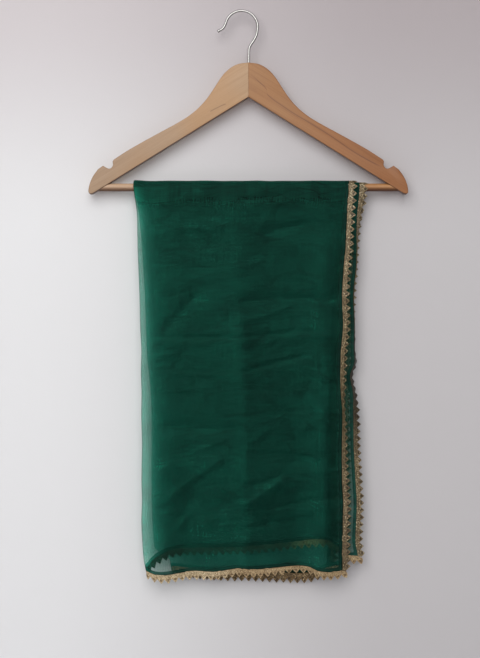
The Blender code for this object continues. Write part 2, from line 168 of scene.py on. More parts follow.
def channelsOf(material, colour):
    return addNode(material, "ShaderNodeSeparateColor", None, {"Color": colour}).outputs


def bumped(material, height, strength, distance, **normal):
    sockets = {"Height": height, "Strength": strength, "Distance": distance, **normal}
    return addNode(material, "ShaderNodeBump", None, sockets).outputs["Normal"]


def principled(material, sockets):
    return addNode(material, "ShaderNodeBsdfPrincipled", None, sockets).outputs["BSDF"]


def mixedShaders(material, factor, first, second):
    sockets = {0: factor, 1: first, 2: second}
    return addNode(material, "ShaderNodeMixShader", None, sockets).outputs["Shader"]


def finishMaterial(material, surface):
    addNode(material, "ShaderNodeOutputMaterial", None, {"Surface": surface})
    return material


def finishPiece(name, work, materials, smoothAngle):
    bmesh.ops.scale(work, vec=(mm,) * 3, verts=work.verts[:])
    mesh = bpy.data.meshes.new(name)
    work.to_mesh(mesh)
    work.free()
    for material in materials:
        mesh.materials.append(material)
    mesh.shade_smooth()
    mesh.set_sharp_from_angle(angle=math.radians(smoothAngle))
    piece = bpy.data.objects.new(name, mesh)
    bpy.context.collection.objects.link(piece)
    return piece


# A grid's points as an array by row and column, so that a formula can place them
def gridOf(work, rowCount, columnCount):
    made = bmesh.ops.create_grid(work, x_segments=columnCount - 1, y_segments=rowCount - 1, size=1.0)
    found = [[None] * columnCount for _ in range(rowCount)]
    for vert in made["verts"]:
        column = round((vert.co.x + 1) / 2 * (columnCount - 1))
        row = round((vert.co.y + 1) / 2 * (rowCount - 1))
        found[row][column] = vert
    return found


def placeGrid(grid, points):
    for row, places in zip(grid, points):
        for vert, place in zip(row, places):
            vert.co = place


# Camera: level, straight on, with the picture's height across the hanging cloth's plane
camera = {"x": -2.15, "z": -442.6, "distance": 1800.0, "planeY": -6.5, "pictureHeight": 915.4}

print("camera")
cameraData = bpy.data.cameras.new("camera")
cameraData.sensor_fit = "AUTO"
cameraData.sensor_width = 36.0
cameraData.lens = 36.0 * camera["distance"] / camera["pictureHeight"]
cameraData.clip_end = 50.0
cameraObject = bpy.data.objects.new("camera", cameraData)
cameraY = camera["planeY"] - camera["distance"]
cameraObject.location = (camera["x"] * mm, cameraY * mm, camera["z"] * mm)
cameraObject.rotation_euler = (math.radians(90.0), 0.0, 0.0)
bpy.context.collection.objects.link(cameraObject)
bpy.context.scene.camera = cameraObject


# Stage: a plain pale wall close behind, seen from the front only, and a floor far below
stage = {
    "wallY": 18.5,
    "floorZ": -1350.0,
    "halfSize": 4000.0,
    # painted light and shade on the wall: the left, right and top colours
    "leftColour": "#e2e3e6",
    "rightColour": "#c2c0c3",
    "topColour": "#e3dcdd",
    "paintedFalloffX": (-0.32, 0.22),
    "paintedTopShadeZ": (-0.32, 0.06),
    "ambient": 0.36,
    "ambientAbove": "#f5f3f2",
    "ambientBelow": "#94908d",
    "ambientFromTo": (-0.7, 0.5),
    "aim": (0.0, 0.0, -380.0),
    "keyPlace": (-390.0, -2200.0, 560.0),
    "keySize": 2.2,
    "keyPower": 54.0,
    "keyColour": "#fffdfa",
    "backPlace": (-500.0, 2400.0, -200.0),
    "backSize": 1.4,
    "backPower": 24.0,
    "backColour": "#f6f8ff",
}


# Matt emulsion on plaster: pale grey, faintly uneven, no gloss
def wallPaint(oneSided):
    material = newMaterial("matt_wall_paint_one_sided" if oneSided else "matt_floor_paint")
    place = ownPlace(material)
    split = splitOf(material, place)
    # painted light falloff: paler to the left, where the daylight falls, and painted shade, a little greyer
    # and warmer high up
    across = remap(material, split["X"], *stage["paintedFalloffX"], smooth=True)
    paintedTopShade = remap(material, split["Z"], *stage["paintedTopShadeZ"], smooth=True)
    tint = mixed(material, across, linear(stage["leftColour"]), linear(stage["rightColour"]))
    tint = mixed(material, paintedTopShade, tint, linear(stage["topColour"]), "MULTIPLY")
    grain = noiseAt(material, place, 420.0, Detail=3.0)
    sockets = {"Base Color": tint, "Roughness": 0.92, "Specular IOR Level": 0.15}
    sockets["Normal"] = bumped(material, grain, 0.12, 0.0006)
    surface = principled(material, sockets)
    if oneSided:
        side = addNode(material, "ShaderNodeNewGeometry").outputs["Backfacing"]
        clear = addNode(material, "ShaderNodeBsdfTransparent").outputs["BSDF"]
        surface = mixedShaders(material, side, surface, clear)
    return finishMaterial(material, surface)


def stagePlane(name, turn, place, material):
    work = bmesh.new()
    bmesh.ops.create_grid(work, x_segments=1, y_segments=1, size=stage["halfSize"])
    bmesh.ops.rotate(work, verts=work.verts[:], matrix=Matrix.Rotation(turn, 3, "X"))
    bmesh.ops.translate(work, verts=work.verts[:], vec=place)
    plane = finishPiece(name, work, [material], 30.0)
    return plane


def areaLight(name, place, aim, size, power, colour):
    data = bpy.data.lights.new(name, "AREA")
    data.size = size
    data.energy = power
    data.color = linear(colour)[:3]
    light = bpy.data.objects.new(name, data)
    light.location = Vector(place) * mm
    toward = Vector(aim) * mm - light.location
    light.rotation_euler = toward.to_track_quat("-Z", "Y").to_euler()
    light.visible_camera = False
    bpy.context.collection.objects.link(light)


print("stage and light")
wall = stagePlane("wall", math.radians(90.0), (0.0, stage["wallY"], 0.0), wallPaint(True))
wall.visible_shadow = False
stagePlane("floor", 0.0, (0.0, 0.0, stage["floorZ"]), wallPaint(False))
for part in ("key", "back"):
    place, size = stage[part + "Place"], stage[part + "Size"]
    areaLight(part, place, stage["aim"], size, stage[part + "Power"], stage[part + "Colour"])
world = bpy.data.worlds.new("studio")
bpy.context.scene.world = world
world.use_nodes = True
background = world.node_tree.nodes["Background"]
background.inputs["Strength"].default_value = stage["ambient"]
# the room is paler above than below
direction = addNode(world, "ShaderNodeTexCoord").outputs["Generated"]
above = remap(world, splitOf(world, direction)["Z"], *stage["ambientFromTo"], smooth=True)
roomColour = mixed(world, above, linear(stage["ambientBelow"]), linear(stage["ambientAbove"]))
world.node_tree.links.new(roomColour, background.inputs["Color"])
bpy.context.scene.view_settings.view_transform = "Standard"


# Wooden hanger. Columns: distance from the seam, height above the bar's centre
arm = {
    "top": (
        (0.0, 173.5), (14.5, 171.2), (26.0, 165.0), (36.5, 154.5), (46.5, 139.5), (57.0, 124.0),
        (69.0, 110.5), (83.0, 99.0), (100.0, 88.5), (124.0, 75.5), (148.0, 62.3), (168.0, 50.8),
        (187.5, 38.2),
    ),
    "notch": (
        (188.9, 35.6), (188.5, 30.6), (190.9, 26.6), (194.6, 25.8), (198.6, 27.6), (202.2, 29.8),
    ),
    "end": (
        (209.3, 24.8), (216.3, 15.0), (220.8, 4.6), (222.6, -5.4), (220.8, -9.4), (216.6, -9.2),
    ),
    "headUnderside": 125.0,
    "undersideSlope": -0.62,
    "reach": 212.0,
    "depth": 13.0,
    "rounding": 1.6,
    "seamGap": 0.2,
}


# Beech, planed, sanded and clear lacquered: fine straight grain with short flecks, satin shine
def lacqueredBeech(name, wood):
    material = newMaterial(name)
    pale, mid, dark, blush = wood["colours"]
    place = ownPlace(material)
    turned = mapped(material, place, (1.0, 1.0, 1.0), (0.0, wood["lengthwise"], 0.0))
    # growth bands about 4 mm wide and 200 mm long
    bandPlace = mapped(material, turned, (5.0, 60.0, 240.0))
    bands = noiseAt(material, bandPlace, 1.0, Detail=3.0, Distortion=0.35)
    # fine fibres about 1 mm wide
    fibrePlace = mapped(material, turned, (16.0, 300.0, 900.0))
    fibres = noiseAt(material, fibrePlace, 1.0, Detail=5.0, Roughness=0.65)
    grain = mixed(material, 0.5, bands, fibres, kind="FLOAT")
    shown = ramped(material, grain, ((0.3, dark), (0.5, mid), (0.68, pale)))
    # a warm blush that comes and goes over 80 mm
    blushed = remap(material, noiseAt(material, place, 12.0, Detail=1.0), 0.4, 0.75, 0.0, 0.6)
    shown = mixed(material, blushed, shown, linear(blush))
    # short dark flecks 3 mm long
    flecks = cellsAt(material, mapped(material, turned, (210.0, 500.0, 1100.0)), 1.0)
    shown = mixed(material, remap(material, flecks["Distance"], 0.1, 0.24, 0.5, 0.0), shown, linear(dark))
    # one dark heartwood line, as a curve of height over x, uneven along its length
    split = splitOf(material, place)
    line = wood["line"]
    low, high = line[0][0], line[-1][0]
    base, top = min(z for _, z in line), max(z for _, z in line)
    along = remap(material, split["X"], low * mm, high * mm)
    course = addNode(material, "ShaderNodeFloatCurve", None, {"Value": along})
    points = course.mapping.curves[0].points
    for x, z in line[1:-1]:
        points.new((x - low) / (high - low), (z - base) / (top - base))
    points[0].location = (0.0, (line[0][1] - base) / (top - base))
    points[-1].location = (1.0, (line[-1][1] - base) / (top - base))
    course.mapping.update()
    courseZ = remap(material, course.outputs["Value"], 0.0, 1.0, base * mm, top * mm)
    apart = maths(material, "ABSOLUTE", maths(material, "SUBTRACT", split["Z"], courseZ))
    width = wood["lineWidth"] * mm
    onLine = remap(material, apart, width, 0.2 * width, 0.0, wood["lineStrength"], smooth=True)
    ends = remap(material, maths(material, "PINGPONG", along, 0.5), 0.0, 0.06)
    onLine = maths(material, "MULTIPLY", onLine, ends)
    shown = mixed(material, onLine, shown, linear(wood["lineColour"]))
    # the board's tone changes a little from its near end to its far one: partly its own tone, and on the bar
    # and the right arm partly painted shade where the light falls off toward the right
    toneAndFalloff = remap(material, split["X"], wood["near"] * mm, wood["far"] * mm, smooth=True)
    shown = mixed(material, toneAndFalloff, shown, linear(wood["farToneAndShade"]), "MULTIPLY")
    # painted shade: undersides are painted browner and darker, where less light reaches them
    normal = addNode(material, "ShaderNodeNewGeometry").outputs["Normal"]
    under = remap(material, splitOf(material, normal)["Z"], wood["undersideShadeFrom"], -0.95, smooth=True)
    sockets = {
        "Base Color": mixed(material, under, shown, linear(wood["undersideShade"]), "MULTIPLY"),
        "Roughness": 0.5,
        "IOR": 1.52,
        "Specular IOR Level": 0.35,
        "Coat Weight": 0.1,
        "Coat Roughness": 0.3,
        "Normal": bumped(material, fibres, 0.25, 0.0002),
    }
    return finishMaterial(material, principled(material, sockets))


def hangerArm(name, side, material, node):
    reach = arm["reach"]
    under = arm["headUnderside"] + arm["undersideSlope"] * reach
    outline = [
        *smoothRoute(arm["top"], 6),
        *smoothRoute(arm["notch"], 5),
        *smoothRoute(arm["end"], 5),
        (reach, under),
        (0.0, arm["headUnderside"]),
    ]
    work = bmesh.new()
    rim = []
    for across, height in outline:
        x = seamX + side * max(across, arm["seamGap"] / 2)
        rim.append(work.verts.new((x, -arm["depth"] / 2, barZ + height)))
    face = work.faces.new(rim)
    made = bmesh.ops.extrude_face_region(work, geom=[face])
    moved = [v for v in made["geom"] if isinstance(v, bmesh.types.BMVert)]
    bmesh.ops.translate(work, verts=moved, vec=(0.0, arm["depth"], 0.0))

    def onSeam(vert):
        return abs(vert.co.x - seamX) < arm["seamGap"]

    edges = []
    for edge in work.edges:
        a, b = edge.verts
        if abs(a.co.y - b.co.y) < 1.0 and not (onSeam(a) and onSeam(b)):
            edges.append(edge)
    bmesh.ops.recalc_face_normals(work, faces=work.faces[:])
    bmesh.ops.bevel(
        work,
        geom=edges,
        offset=arm["rounding"],
        affect="EDGES",
        segments=4,
        profile=0.5,
        material=-1,
        clamp_overlap=True,
    )
    bmesh.ops.remove_doubles(work, verts=work.verts[:], dist=0.001)
    bmesh.ops.recalc_face_normals(work, faces=work.faces[:])
    piece = finishPiece(name, work, [material], 32.0)
    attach(piece, "root")
    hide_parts(node)


def hangerBar(material):
    work = bmesh.new()
    bmesh.ops.create_cone(
        work,
        cap_ends=True,
        segments=48,
        radius1=barDiameter / 2,
        radius2=barDiameter / 2,
        depth=3 * arm["reach"],
    )
    upright = Matrix.Rotation(math.radians(90.0), 3, "Y")
    bmesh.ops.rotate(work, verts=work.verts[:], matrix=upright)
    slope = arm["undersideSlope"]
    for side in (-1, 1):
        along = Vector((side, 0.0, slope)).normalized()
        outward = Vector((side * abs(along.z), 0.0, abs(along.x)))
        seat = Vector((side * arm["headUnderside"] / -slope, 0.0, 0.0))
        geometry = [*work.verts, *work.edges, *work.faces]
        cut = bmesh.ops.bisect_plane(work, geom=geometry, plane_co=seat, plane_no=outward, clear_outer=True)
        rim = [e for e in cut["geom_cut"] if isinstance(e, bmesh.types.BMEdge)]
        bmesh.ops.edgeloop_fill(work, edges=rim)
    bmesh.ops.translate(work, verts=work.verts[:], vec=(seamX, 0.0, barZ))
    bmesh.ops.recalc_face_normals(work, faces=work.faces[:])
    piece = finishPiece("hangerBar", work, [material], 32.0)
    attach(piece, "root")
    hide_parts("hanger_bar")


print("hanger")
armSlope = math.atan(-arm["undersideSlope"])
# Colours are pale, middle and dark grain and the blush; line columns are x and z
boards = {
    "left": {
        "colours": ("#b29375", "#a98969", "#9a7857", "#ae804f"),
        "lengthwise": armSlope,
        "near": 0.0,
        "far": -180.0,
        "farToneAndShade": "#eef2fb",
        "undersideShadeFrom": -0.1,
        "undersideShade": "#7a5c48",
        "line": ((-44.0, -140.2), (-40.9, -138.4), (-32.7, -134.2), (-26.0, -131.0), (-21.5, -129.7)),
        "lineColour": "#6b4a30",
        "lineWidth": 1.5,
        "lineStrength": 0.5,
    },
    # the right arm's board is browner, and its colours are also painted darker, as painted shade where the
    # light falls off toward the right
    "right": {
        "colours": ("#a07449", "#95683f", "#7f532f", "#9c6532"),
        "lengthwise": -armSlope,
        "near": 20.0,
        "far": 200.0,
        "farToneAndShade": "#f0e0d9",
        "undersideShadeFrom": -0.1,
        "undersideShade": "#7a5c48",
        "line": (
            (12.0, -88.0), (14.0, -89.6), (26.5, -100.7), (34.5, -108.8), (36.0, -116.0), (41.9, -121.6),
            (57.2, -132.2), (72.5, -142.5), (94.8, -155.8), (122.7, -173.2), (164.5, -201.1), (196.0, -217.5),
        ),
        "lineColour": "#6a4025",
        "lineWidth": 1.3,
        "lineStrength": 0.75,
    },
    "bar": {
        "colours": ("#cfb297", "#bc9d82", "#a58262", "#bd976d"),
        "lengthwise": 0.0,
        "near": -180.0,
        "far": 200.0,
        "farToneAndShade": "#e2c399",
        "undersideShadeFrom": 0.35,
        "undersideShade": "#7d6350",
        "line": ((-190.0, -243.0), (-60.0, -243.6), (60.0, -242.8), (208.0, -243.4)),
        "lineColour": "#7d5a3c",
        "lineWidth": 0.6,
        "lineStrength": 0.3,
    },
}
beech = {part: lacqueredBeech("lacquered_beech_" + part, wood) for part, wood in boards.items()}
hangerArm("hangerArmLeft", -1, beech["left"], "hanger_arm_left")
hangerArm("hangerArmRight", 1, beech["right"], "hanger_arm_right")
hangerBar(beech["bar"])


# Hook wire. Columns: x and z of its centre
hook = {
    "wire": 3.5,
    "radius": 22.6,
    "roundFrom": -13.0,
    "roundTo": 166.0,
    "roundSteps": 14,
    "neck": (
        (10.2, headTopZ - 22.0), (10.2, headTopZ), (10.3, -60.0), (10.7, -51.5), (12.8, -46.1),
        (17.1, -39.8), (20.9, -32.3),
    ),
    "tip": ((-24.6, -21.2), (-28.0, -24.4), (-31.4, -26.2), (-33.6, -27.9)),
    "tipSwell": 1.12,
    "tipSwellSteps": 8,
    "tipRounding": (0.55, 0.85, 1.0),
}


# Steel wire, drawn, bent and bright plated: mirror-like, its gloss faintly uneven
def brightSteel():
    material = newMaterial("bright_plated_steel_wire")
    place = ownPlace(material)
    dull = remap(material, noiseAt(material, place, 900.0, Detail=2.0), 0.3, 0.7, 0.1, 0.2)
    sockets = {"Base Color": linear("#a3a2a1"), "Metallic": 1.0, "Roughness": dull}
    return finishMaterial(material, principled(material, sockets))


def hangerHook(material):
    centreZ = hook["wire"] / 2 - hook["radius"]
    points = [*hook["neck"]]
    for i in range(hook["roundSteps"] + 1):
        share = i / hook["roundSteps"]
        angle = math.radians(hook["roundFrom"] + share * (hook["roundTo"] - hook["roundFrom"]))
        points.append((hook["radius"] * math.cos(angle), centreZ + hook["radius"] * math.sin(angle)))
    points.extend(hook["tip"])
    route = smoothRoute(points, 6)
    wire = bpy.data.curves.new("hangerHook", "CURVE")
    wire.dimensions = "3D"
    wire.bevel_depth = hook["wire"] / 2 * mm
    wire.bevel_resolution = 6
    wire.use_fill_caps = True
    spline = wire.splines.new("POLY")
    spline.points.add(len(route) - 1)
    for i, (point, (x, z)) in enumerate(zip(spline.points, route)):
        point.co = (x * mm, 0.0, z * mm, 1.0)
        fromTip = len(route) - 1 - i
        rounding = hook["tipRounding"][min(fromTip, 2)]
        point.radius = rounding * (hook["tipSwell"] if fromTip < hook["tipSwellSteps"] else 1.0)
    wire.materials.append(material)
    piece = bpy.data.objects.new("hangerHook", wire)
    bpy.context.collection.objects.link(piece)
    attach(piece, "root")
    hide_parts("hanger_hook")


hangerHook(brightSteel())


# The stole's cloth. Drops are measured down from the bar's centre, x from the hanger's seam
cloth = {
    "flat": (0.61, 1.1),
    "wall": 1.2,
    "layerSpacing": 2.1,
    "foldSpacing": 4.2,
    "foldSpacingAtBar": 3.0,
    "foldFade": 14.0,
    "foldWidensOver": 0.125,
    "barGap": 0.3,
    "barEase": 0.5,
    "creasesFullFrom": 45.0,
    "longestDrop": 543.0,
    "pressHeight": 3.2,
    "pressFade": 34.0,
    "sideShade": 3.5,
    "dropShade": 0.9,
    "paleShare": 0.5,
    "shadeLimits": (0.6, 1.5),
    "foldGlow": 1.6,
    "foldGlowOver": 14.0,
    "foldLineDark": 0.55,
    "foldLineWidth": 1.4,
    "foldOpen": 0.24,
    "foldOpenOver": 18.0,
    "cornerOpen": 0.34,
    "cornerFrom": 500.0,
    "cornerFullAfter": 15.0,
    "cornerOver": 30.0,
    "largeHalfWidth": 12.0,
    "endFade": 14.0,
    "fineEndFade": 6.0,
    "fineStrength": 1.8,
    "creaseEdge": 0.9,
    "steepEdge": 2.6,
    "fineWidth": 0.65,
    "fineFullFrom": 26.0,
    "topWave": 0.7,
    "topWaveFade": 30.0,
    "topWaveRuns": (9.0, 31.0, 23.0),
    "innerShare": 0.55,
    "arcSteps": 9,
    "frontRows": 350,
    "backRows": 160,
    "columnStep": 3.6,
    "smallCreases": 70,
    "foldColumns": 8,
    "hemWidth": 5.6,
    # columns: cells a metre across and down, turn in degrees, change of painted light and shade, strength of
    # the painted shade along the creases
    "facets": ((13.0, 44.0, -5.0, 0.13, 0.34), (30.0, 105.0, 7.0, 0.08, 0.24)),
}
# Columns: drop, x of the left fold, x of the outer layer's edge, x of the inner layer's edge
frontWidths = (
    (-8.0, -161.0, 141.0, 156.2), (18.0, -157.4, 139.0, 154.6), (38.0, -154.8, 137.8, 152.4),
    (63.0, -154.2, 136.4, 151.4), (88.0, -153.7, 135.2, 151.9), (112.0, -152.8, 133.0, 150.8),
    (150.0, -151.2, 130.8, 147.2), (193.0, -150.3, 132.0, 148.4), (229.0, -148.6, 129.0, 147.8),
    (245.0, -149.0, 128.6, 148.4), (262.0, -149.2, 128.4, 142.4), (288.0, -148.3, 129.2, 146.6),
    (315.0, -148.7, 131.4, 147.0), (360.0, -147.8, 130.6, 147.6), (410.0, -148.4, 130.8, 150.2),
    (440.0, -147.8, 132.3, 151.8), (467.0, -148.5, 131.7, 151.0), (494.0, -147.4, 131.3, 150.2),
    (519.0, -145.4, 131.1, 154.4), (535.0, -142.4, 131.0, 155.0),
)
backWidths = (
    (-8.0, -161.0, 141.0, 156.2), (40.0, -152.9, 132.0, 149.0), (144.0, -145.4, 124.0, 141.0),
    (228.0, -142.3, 121.0, 137.0), (298.0, -136.2, 117.5, 134.5), (437.0, -135.5, 116.8, 133.5),
    (500.0, -132.4, 116.5, 133.0), (508.0, -129.6, 116.0, 132.6), (518.0, -113.0, 115.6, 132.2),
    (531.0, -109.0, 114.4, 131.2), (548.0, -106.0, 112.0, 130.0),
)
# Columns: x, drop of the hem there
frontOuterHem = (
    (-145.0, 534.0), (-133.0, 539.0), (-121.0, 540.0), (-97.0, 536.6), (-80.0, 534.7),
    (-50.0, 535.6), (-38.0, 533.4), (-20.0, 530.4), (0.0, 531.8), (28.0, 530.1), (58.0, 527.5),
    (75.0, 527.2), (85.0, 528.8), (95.0, 533.6), (112.0, 535.6), (131.0, 533.4),
)
frontInnerHem = (
    (-145.0, 529.0), (-136.0, 518.5), (-126.0, 511.5), (-107.0, 503.9), (-40.0, 501.2),
    (0.0, 499.4), (43.0, 495.8), (80.0, 491.6), (107.0, 491.0), (124.0, 500.0), (137.0, 511.8),
    (155.0, 514.4),
)
backOuterHem = (
    (-106.0, 533.0), (-60.0, 538.5), (0.0, 541.0), (60.0, 543.2), (88.0, 541.8), (112.0, 534.0),
)
backInnerHem = (
    (-106.0, 531.0), (-60.0, 535.5), (0.0, 538.2), (60.0, 540.0), (88.0, 538.4), (112.0, 531.6),
    (130.0, 528.0),
)
# Columns: drop, x of the lengthwise press crease
pressCrease = (
    (0.0, -7.6), (26.0, -7.4), (88.0, -12.4), (190.0, -10.2), (260.0, -7.4), (290.0, -5.0),
    (405.0, -3.2), (540.0, -2.2),
)
# Columns: drop, how rounded the press crease is
pressSoftness = ((0.0, 14.0), (90.0, 9.0), (160.0, 4.0), (260.0, 1.5), (540.0, 1.2))
# Large soft creases. Columns: x and drop of each end, height, with troughs negative
frontLarge = (
    (109.0, 6.0, 105.0, 330.0, 0.9), (104.0, 345.0, 98.0, 524.0, 0.3),
    (-80.0, 75.0, -25.0, 79.0, -0.8), (30.0, 61.0, 106.0, 58.0, -0.9),
    (-112.0, 192.0, -75.0, 153.0, -0.6), (-11.0, 161.0, 119.0, 155.0, -1.1),
    (-129.0, 208.0, -11.0, 211.0, 1.1), (-11.0, 213.0, 127.0, 199.0, 1.1),
    (-5.0, 257.0, 77.0, 240.0, 0.9), (-129.0, 261.0, -30.0, 263.0, -0.9),
    (-129.0, 332.0, -20.0, 337.0, -1.2), (0.0, 365.0, 119.0, 383.0, -1.2),
    (-128.0, 395.0, -46.0, 383.0, 1.1), (0.0, 438.0, 70.0, 405.0, 1.1),
    (-120.0, 454.0, -50.0, 453.0, -1.0),
)
backLarge = (
    (-110.0, 92.0, -20.0, 84.0, -1.3), (10.0, 128.0, 104.0, 121.0, 1.4),
    (-104.0, 190.0, -8.0, 197.0, 1.6), (-8.0, 206.0, 100.0, 214.0, 1.4),
    (-96.0, 268.0, -24.0, 258.0, -1.4), (4.0, 300.0, 98.0, 290.0, -1.5),
    (-100.0, 352.0, 10.0, 361.0, 1.5), (16.0, 402.0, 96.0, 420.0, -1.5),
    (-98.0, 448.0, -10.0, 436.0, -1.3),
)
# Fine creases. Columns: x and drop of each end, how far the middle sags, height, half width
frontFine = (
    (-8, 18, 47, 11, 1.1, -0.7, 4.0), (47, 11, 80, 6, -2.1, -0.5, 4.0), (47, 16, 19, 55, 2.8, 0.35, 6.0),
    (-88, 65, -22, 65, 0.0, -0.35, 5.0), (-67, 75, -22, 79, 0.0, -0.3, 4.0),
    (-59, 32, -67, 41, 0.0, -0.3, 3.5), (-51, 59, -25, 43, 0.0, 0.3, 5.0),
    (25, 65, 80, 56, -2.8, -0.5, 6.0), (-114, 200, -76, 155, -1.4, -0.8, 4.5),
    (-76, 155, -39, 161, 0.0, -0.4, 4.0), (-6, 160, 115, 157, -3.4, -0.8, 5.0),
    (-8, 187, 55, 166, 1.4, 0.6, 5.0), (-133, 208, -14, 210, 0.0, -0.9, 4.0),
    (-133, 215, -60, 218, 2.8, 0.4, 4.0), (-8, 210, 121, 199, -2.1, -0.8, 5.0),
    (-131, 236, -99, 231, 0.0, 0.35, 4.0), (-2, 257, 76, 237, -2.1, -1.0, 4.5),
    (72, 249, 113, 267, 0.0, 0.4, 5.0), (-135, 259, -14, 263, 0.0, 0.6, 3.5),
    (-127, 288, -72, 290, 0.0, -0.5, 4.0), (-110, 334, -16, 337, 0.0, -0.4, 6.0),
    (-74, 368, -37, 353, 0.0, 0.7, 3.0), (-76, 375, -37, 377, 0.0, 0.3, 4.0),
    (-108, 431, -44, 384, -2.1, 0.9, 4.5), (-125, 395, -110, 386, 0.0, 0.4, 4.0),
    (-112, 452, -50, 453, 0.0, 0.5, 2.5), (-97, 473, -89, 463, 0.0, 0.7, 2.5),
    (-67, 473, -46, 461, 0.0, 0.5, 3.5), (-101, 480, -8, 484, -2.8, -0.4, 6.0),
    (-1, 365, 76, 369, -2.1, 0.6, 4.0), (76, 369, 112, 382, -1.4, 0.5, 4.0),
    (3, 356, 27, 337, 0.0, 0.35, 4.0), (76, 337, 99, 320, 0.0, 0.5, 3.5),
    (-1, 416, 48, 401, 1.4, -0.6, 5.0), (1, 439, 48, 406, 0.8, 1.0, 3.5),
    (37, 446, 129, 433, -3.5, -0.8, 5.0), (27, 469, 91, 469, -4.2, -0.6, 6.0),
    (-1, 475, 27, 467, 0.0, -0.4, 4.0), (105, 309, 104, 515, 0.0, 0.35, 3.0),
)
backFine = (
    (-104, 36, -30, 28, 1.0, -0.5, 5.0), (6, 44, 92, 33, -2.0, 0.5, 5.0),
    (-92, 96, -18, 86, 1.4, -0.7, 4.5), (8, 104, 60, 90, 0.0, 0.5, 4.0),
    (14, 132, 104, 122, -2.0, 0.7, 5.0), (-108, 150, -60, 124, 0.0, 0.6, 4.0),
    (-104, 186, -8, 196, 0.0, -0.9, 4.0), (-8, 204, 100, 215, 2.0, -0.8, 5.0),
    (20, 246, 76, 226, 0.0, 0.6, 4.0), (-96, 270, -24, 256, -1.6, 0.8, 4.5),
    (-60, 306, -14, 300, 0.0, -0.5, 4.0), (4, 302, 98, 288, -2.4, -0.8, 5.0),
    (30, 338, 92, 344, 0.0, 0.5, 4.0), (-100, 350, 10, 362, 1.4, 0.7, 4.5),
    (-88, 392, -30, 380, 0.0, -0.6, 4.0), (16, 400, 96, 421, 0.0, 0.8, 4.5),
    (-98, 450, -10, 434, -2.0, -0.7, 5.0), (10, 452, 70, 466, 0.0, 0.5, 4.0),
    (-80, 490, -20, 496, 0.0, 0.4, 5.0), (96, 130, 94, 410, 0.0, 0.35, 3.0),
)
# Columns: x, how far the hem stands off, outward positive
frontHemWaves = (
    (-150.0, 0.0), (-122.0, 2.6), (-82.0, -0.8), (-40.0, 1.0), (28.0, 0.4), (70.0, -1.4),
    (104.0, 2.2), (131.0, 0.2), (160.0, -0.6),
)
backHemWaves = ((-150.0, 0.4), (-90.0, 2.0), (-30.0, -0.8), (40.0, 2.2), (86.0, -1.0), (135.0, 1.2))


# Faint creases from handling, mostly across the cloth, none alike
def smallCreases(seed, count):
    draw = random.Random(seed)
    rows = []
    for _ in range(count):
        x, drop = draw.uniform(-130.0, 90.0), draw.uniform(14.0, 515.0)
        length = draw.uniform(14.0, 60.0)
        steep = draw.random() < 0.18
        angle = math.radians(draw.uniform(20.0, 70.0) if steep else draw.uniform(-3.0, 12.0))
        endX = min(x + length * math.cos(angle), 126.0)
        height = draw.choice((-1, -1, 1)) * draw.uniform(0.1, 0.34)
        sag = draw.uniform(-3.0, 3.0)
        rows.append((x, drop, endX, drop - length * math.sin(angle), sag, height, draw.uniform(2.5, 5.0)))
    return tuple(rows)


frontCreases = (*frontFine, *smallCreases(7, cloth["smallCreases"]))
backCreases = (*backFine, *smallCreases(8, cloth["smallCreases"]))
sideTables = {
    "front": (frontWidths, frontOuterHem, frontInnerHem, frontLarge, frontCreases, frontHemWaves),
    "back": (backWidths, backOuterHem, backInnerHem, backLarge, backCreases, backHemWaves),
}


# A soft trough or ridge, or with an edge a crease as sharp as that edge
def creaseRelief(x0, drop0, x1, drop1, sag, height, halfWidth, endFade, edge, x, drop):
    length = math.hypot(x1 - x0, drop1 - drop0)
    alongX, alongDrop = (x1 - x0) / length, (drop1 - drop0) / length
    run = (x - x0) * alongX + (drop - drop0) * alongDrop
    aside = (x - x0) * alongDrop - (drop - drop0) * alongX
    t = np.clip(run / length, 0.0, 1.0)
    aside = aside + sag * 4 * t * (1 - t)
    past = np.maximum(np.maximum(-run, run - length), 0.0)
    if edge:
        # a steep crease crosses the mesh's wider columns, so it is rounder
        edge = edge + cloth["steepEdge"] * abs(alongDrop)
        across = np.exp((edge - np.hypot(aside, edge)) / (halfWidth * cloth["fineWidth"]))
    else:
        across = np.exp(-((aside / halfWidth) ** 2))
    return height * across * np.exp(-((past / endFade) ** 2))


# How far the inner layer stands from the bar's middle plane
def fallDepth(side, x, drop, fineShare):
    large, fine, waves = sideTables[side][3:]
    innerOffset = barDiameter / 2 + cloth["barGap"] + cloth["barEase"] + cloth["wall"] / 2
    ease = np.clip(drop / cloth["creasesFullFrom"], 0.0, 1.0)
    fromPress = np.hypot(x - tableAt(pressCrease, drop), tableAt(pressSoftness, drop))
    ridge = cloth["pressHeight"] * np.exp(-fromPress / cloth["pressFade"])
    relief = ridge
    for x0, drop0, x1, drop1, height in large:
        relief = relief + creaseRelief(
            x0, drop0, x1, drop1, 0.0, height, cloth["largeHalfWidth"], cloth["endFade"], 0.0, x, drop
        )
    small = 0.0
    for row in fine:
        small = small + creaseRelief(*row, cloth["fineEndFade"], cloth["creaseEdge"], x, drop)
    fromBar = np.clip(drop / cloth["fineFullFrom"], 0.0, 1.0)
    small = small * fineShare * cloth["fineStrength"] * fromBar * fromBar * (3.0 - 2.0 * fromBar)
    depth = innerOffset + ease * relief + small
    short, drift, long = cloth["topWaveRuns"]
    ripple = 0.5 + 0.5 * np.sin(x / short + 1.2 * np.sin(x / drift)) * np.sin(x / long + 0.8)
    depth = depth + cloth["topWave"] * ripple * np.exp(-drop / cloth["topWaveFade"])
    return depth + tableAt(waves, x) * (drop / cloth["longestDrop"]) ** 2


def layerSpacing(fromFold, share):
    widened = np.minimum(share / cloth["foldWidensOver"], 1.0)
    atFold = cloth["foldSpacingAtBar"] + (cloth["foldSpacing"] - cloth["foldSpacingAtBar"]) * widened
    return cloth["layerSpacing"] + (atFold - cloth["layerSpacing"]) * np.exp(
        -((fromFold / cloth["foldFade"]) ** 2)
    )


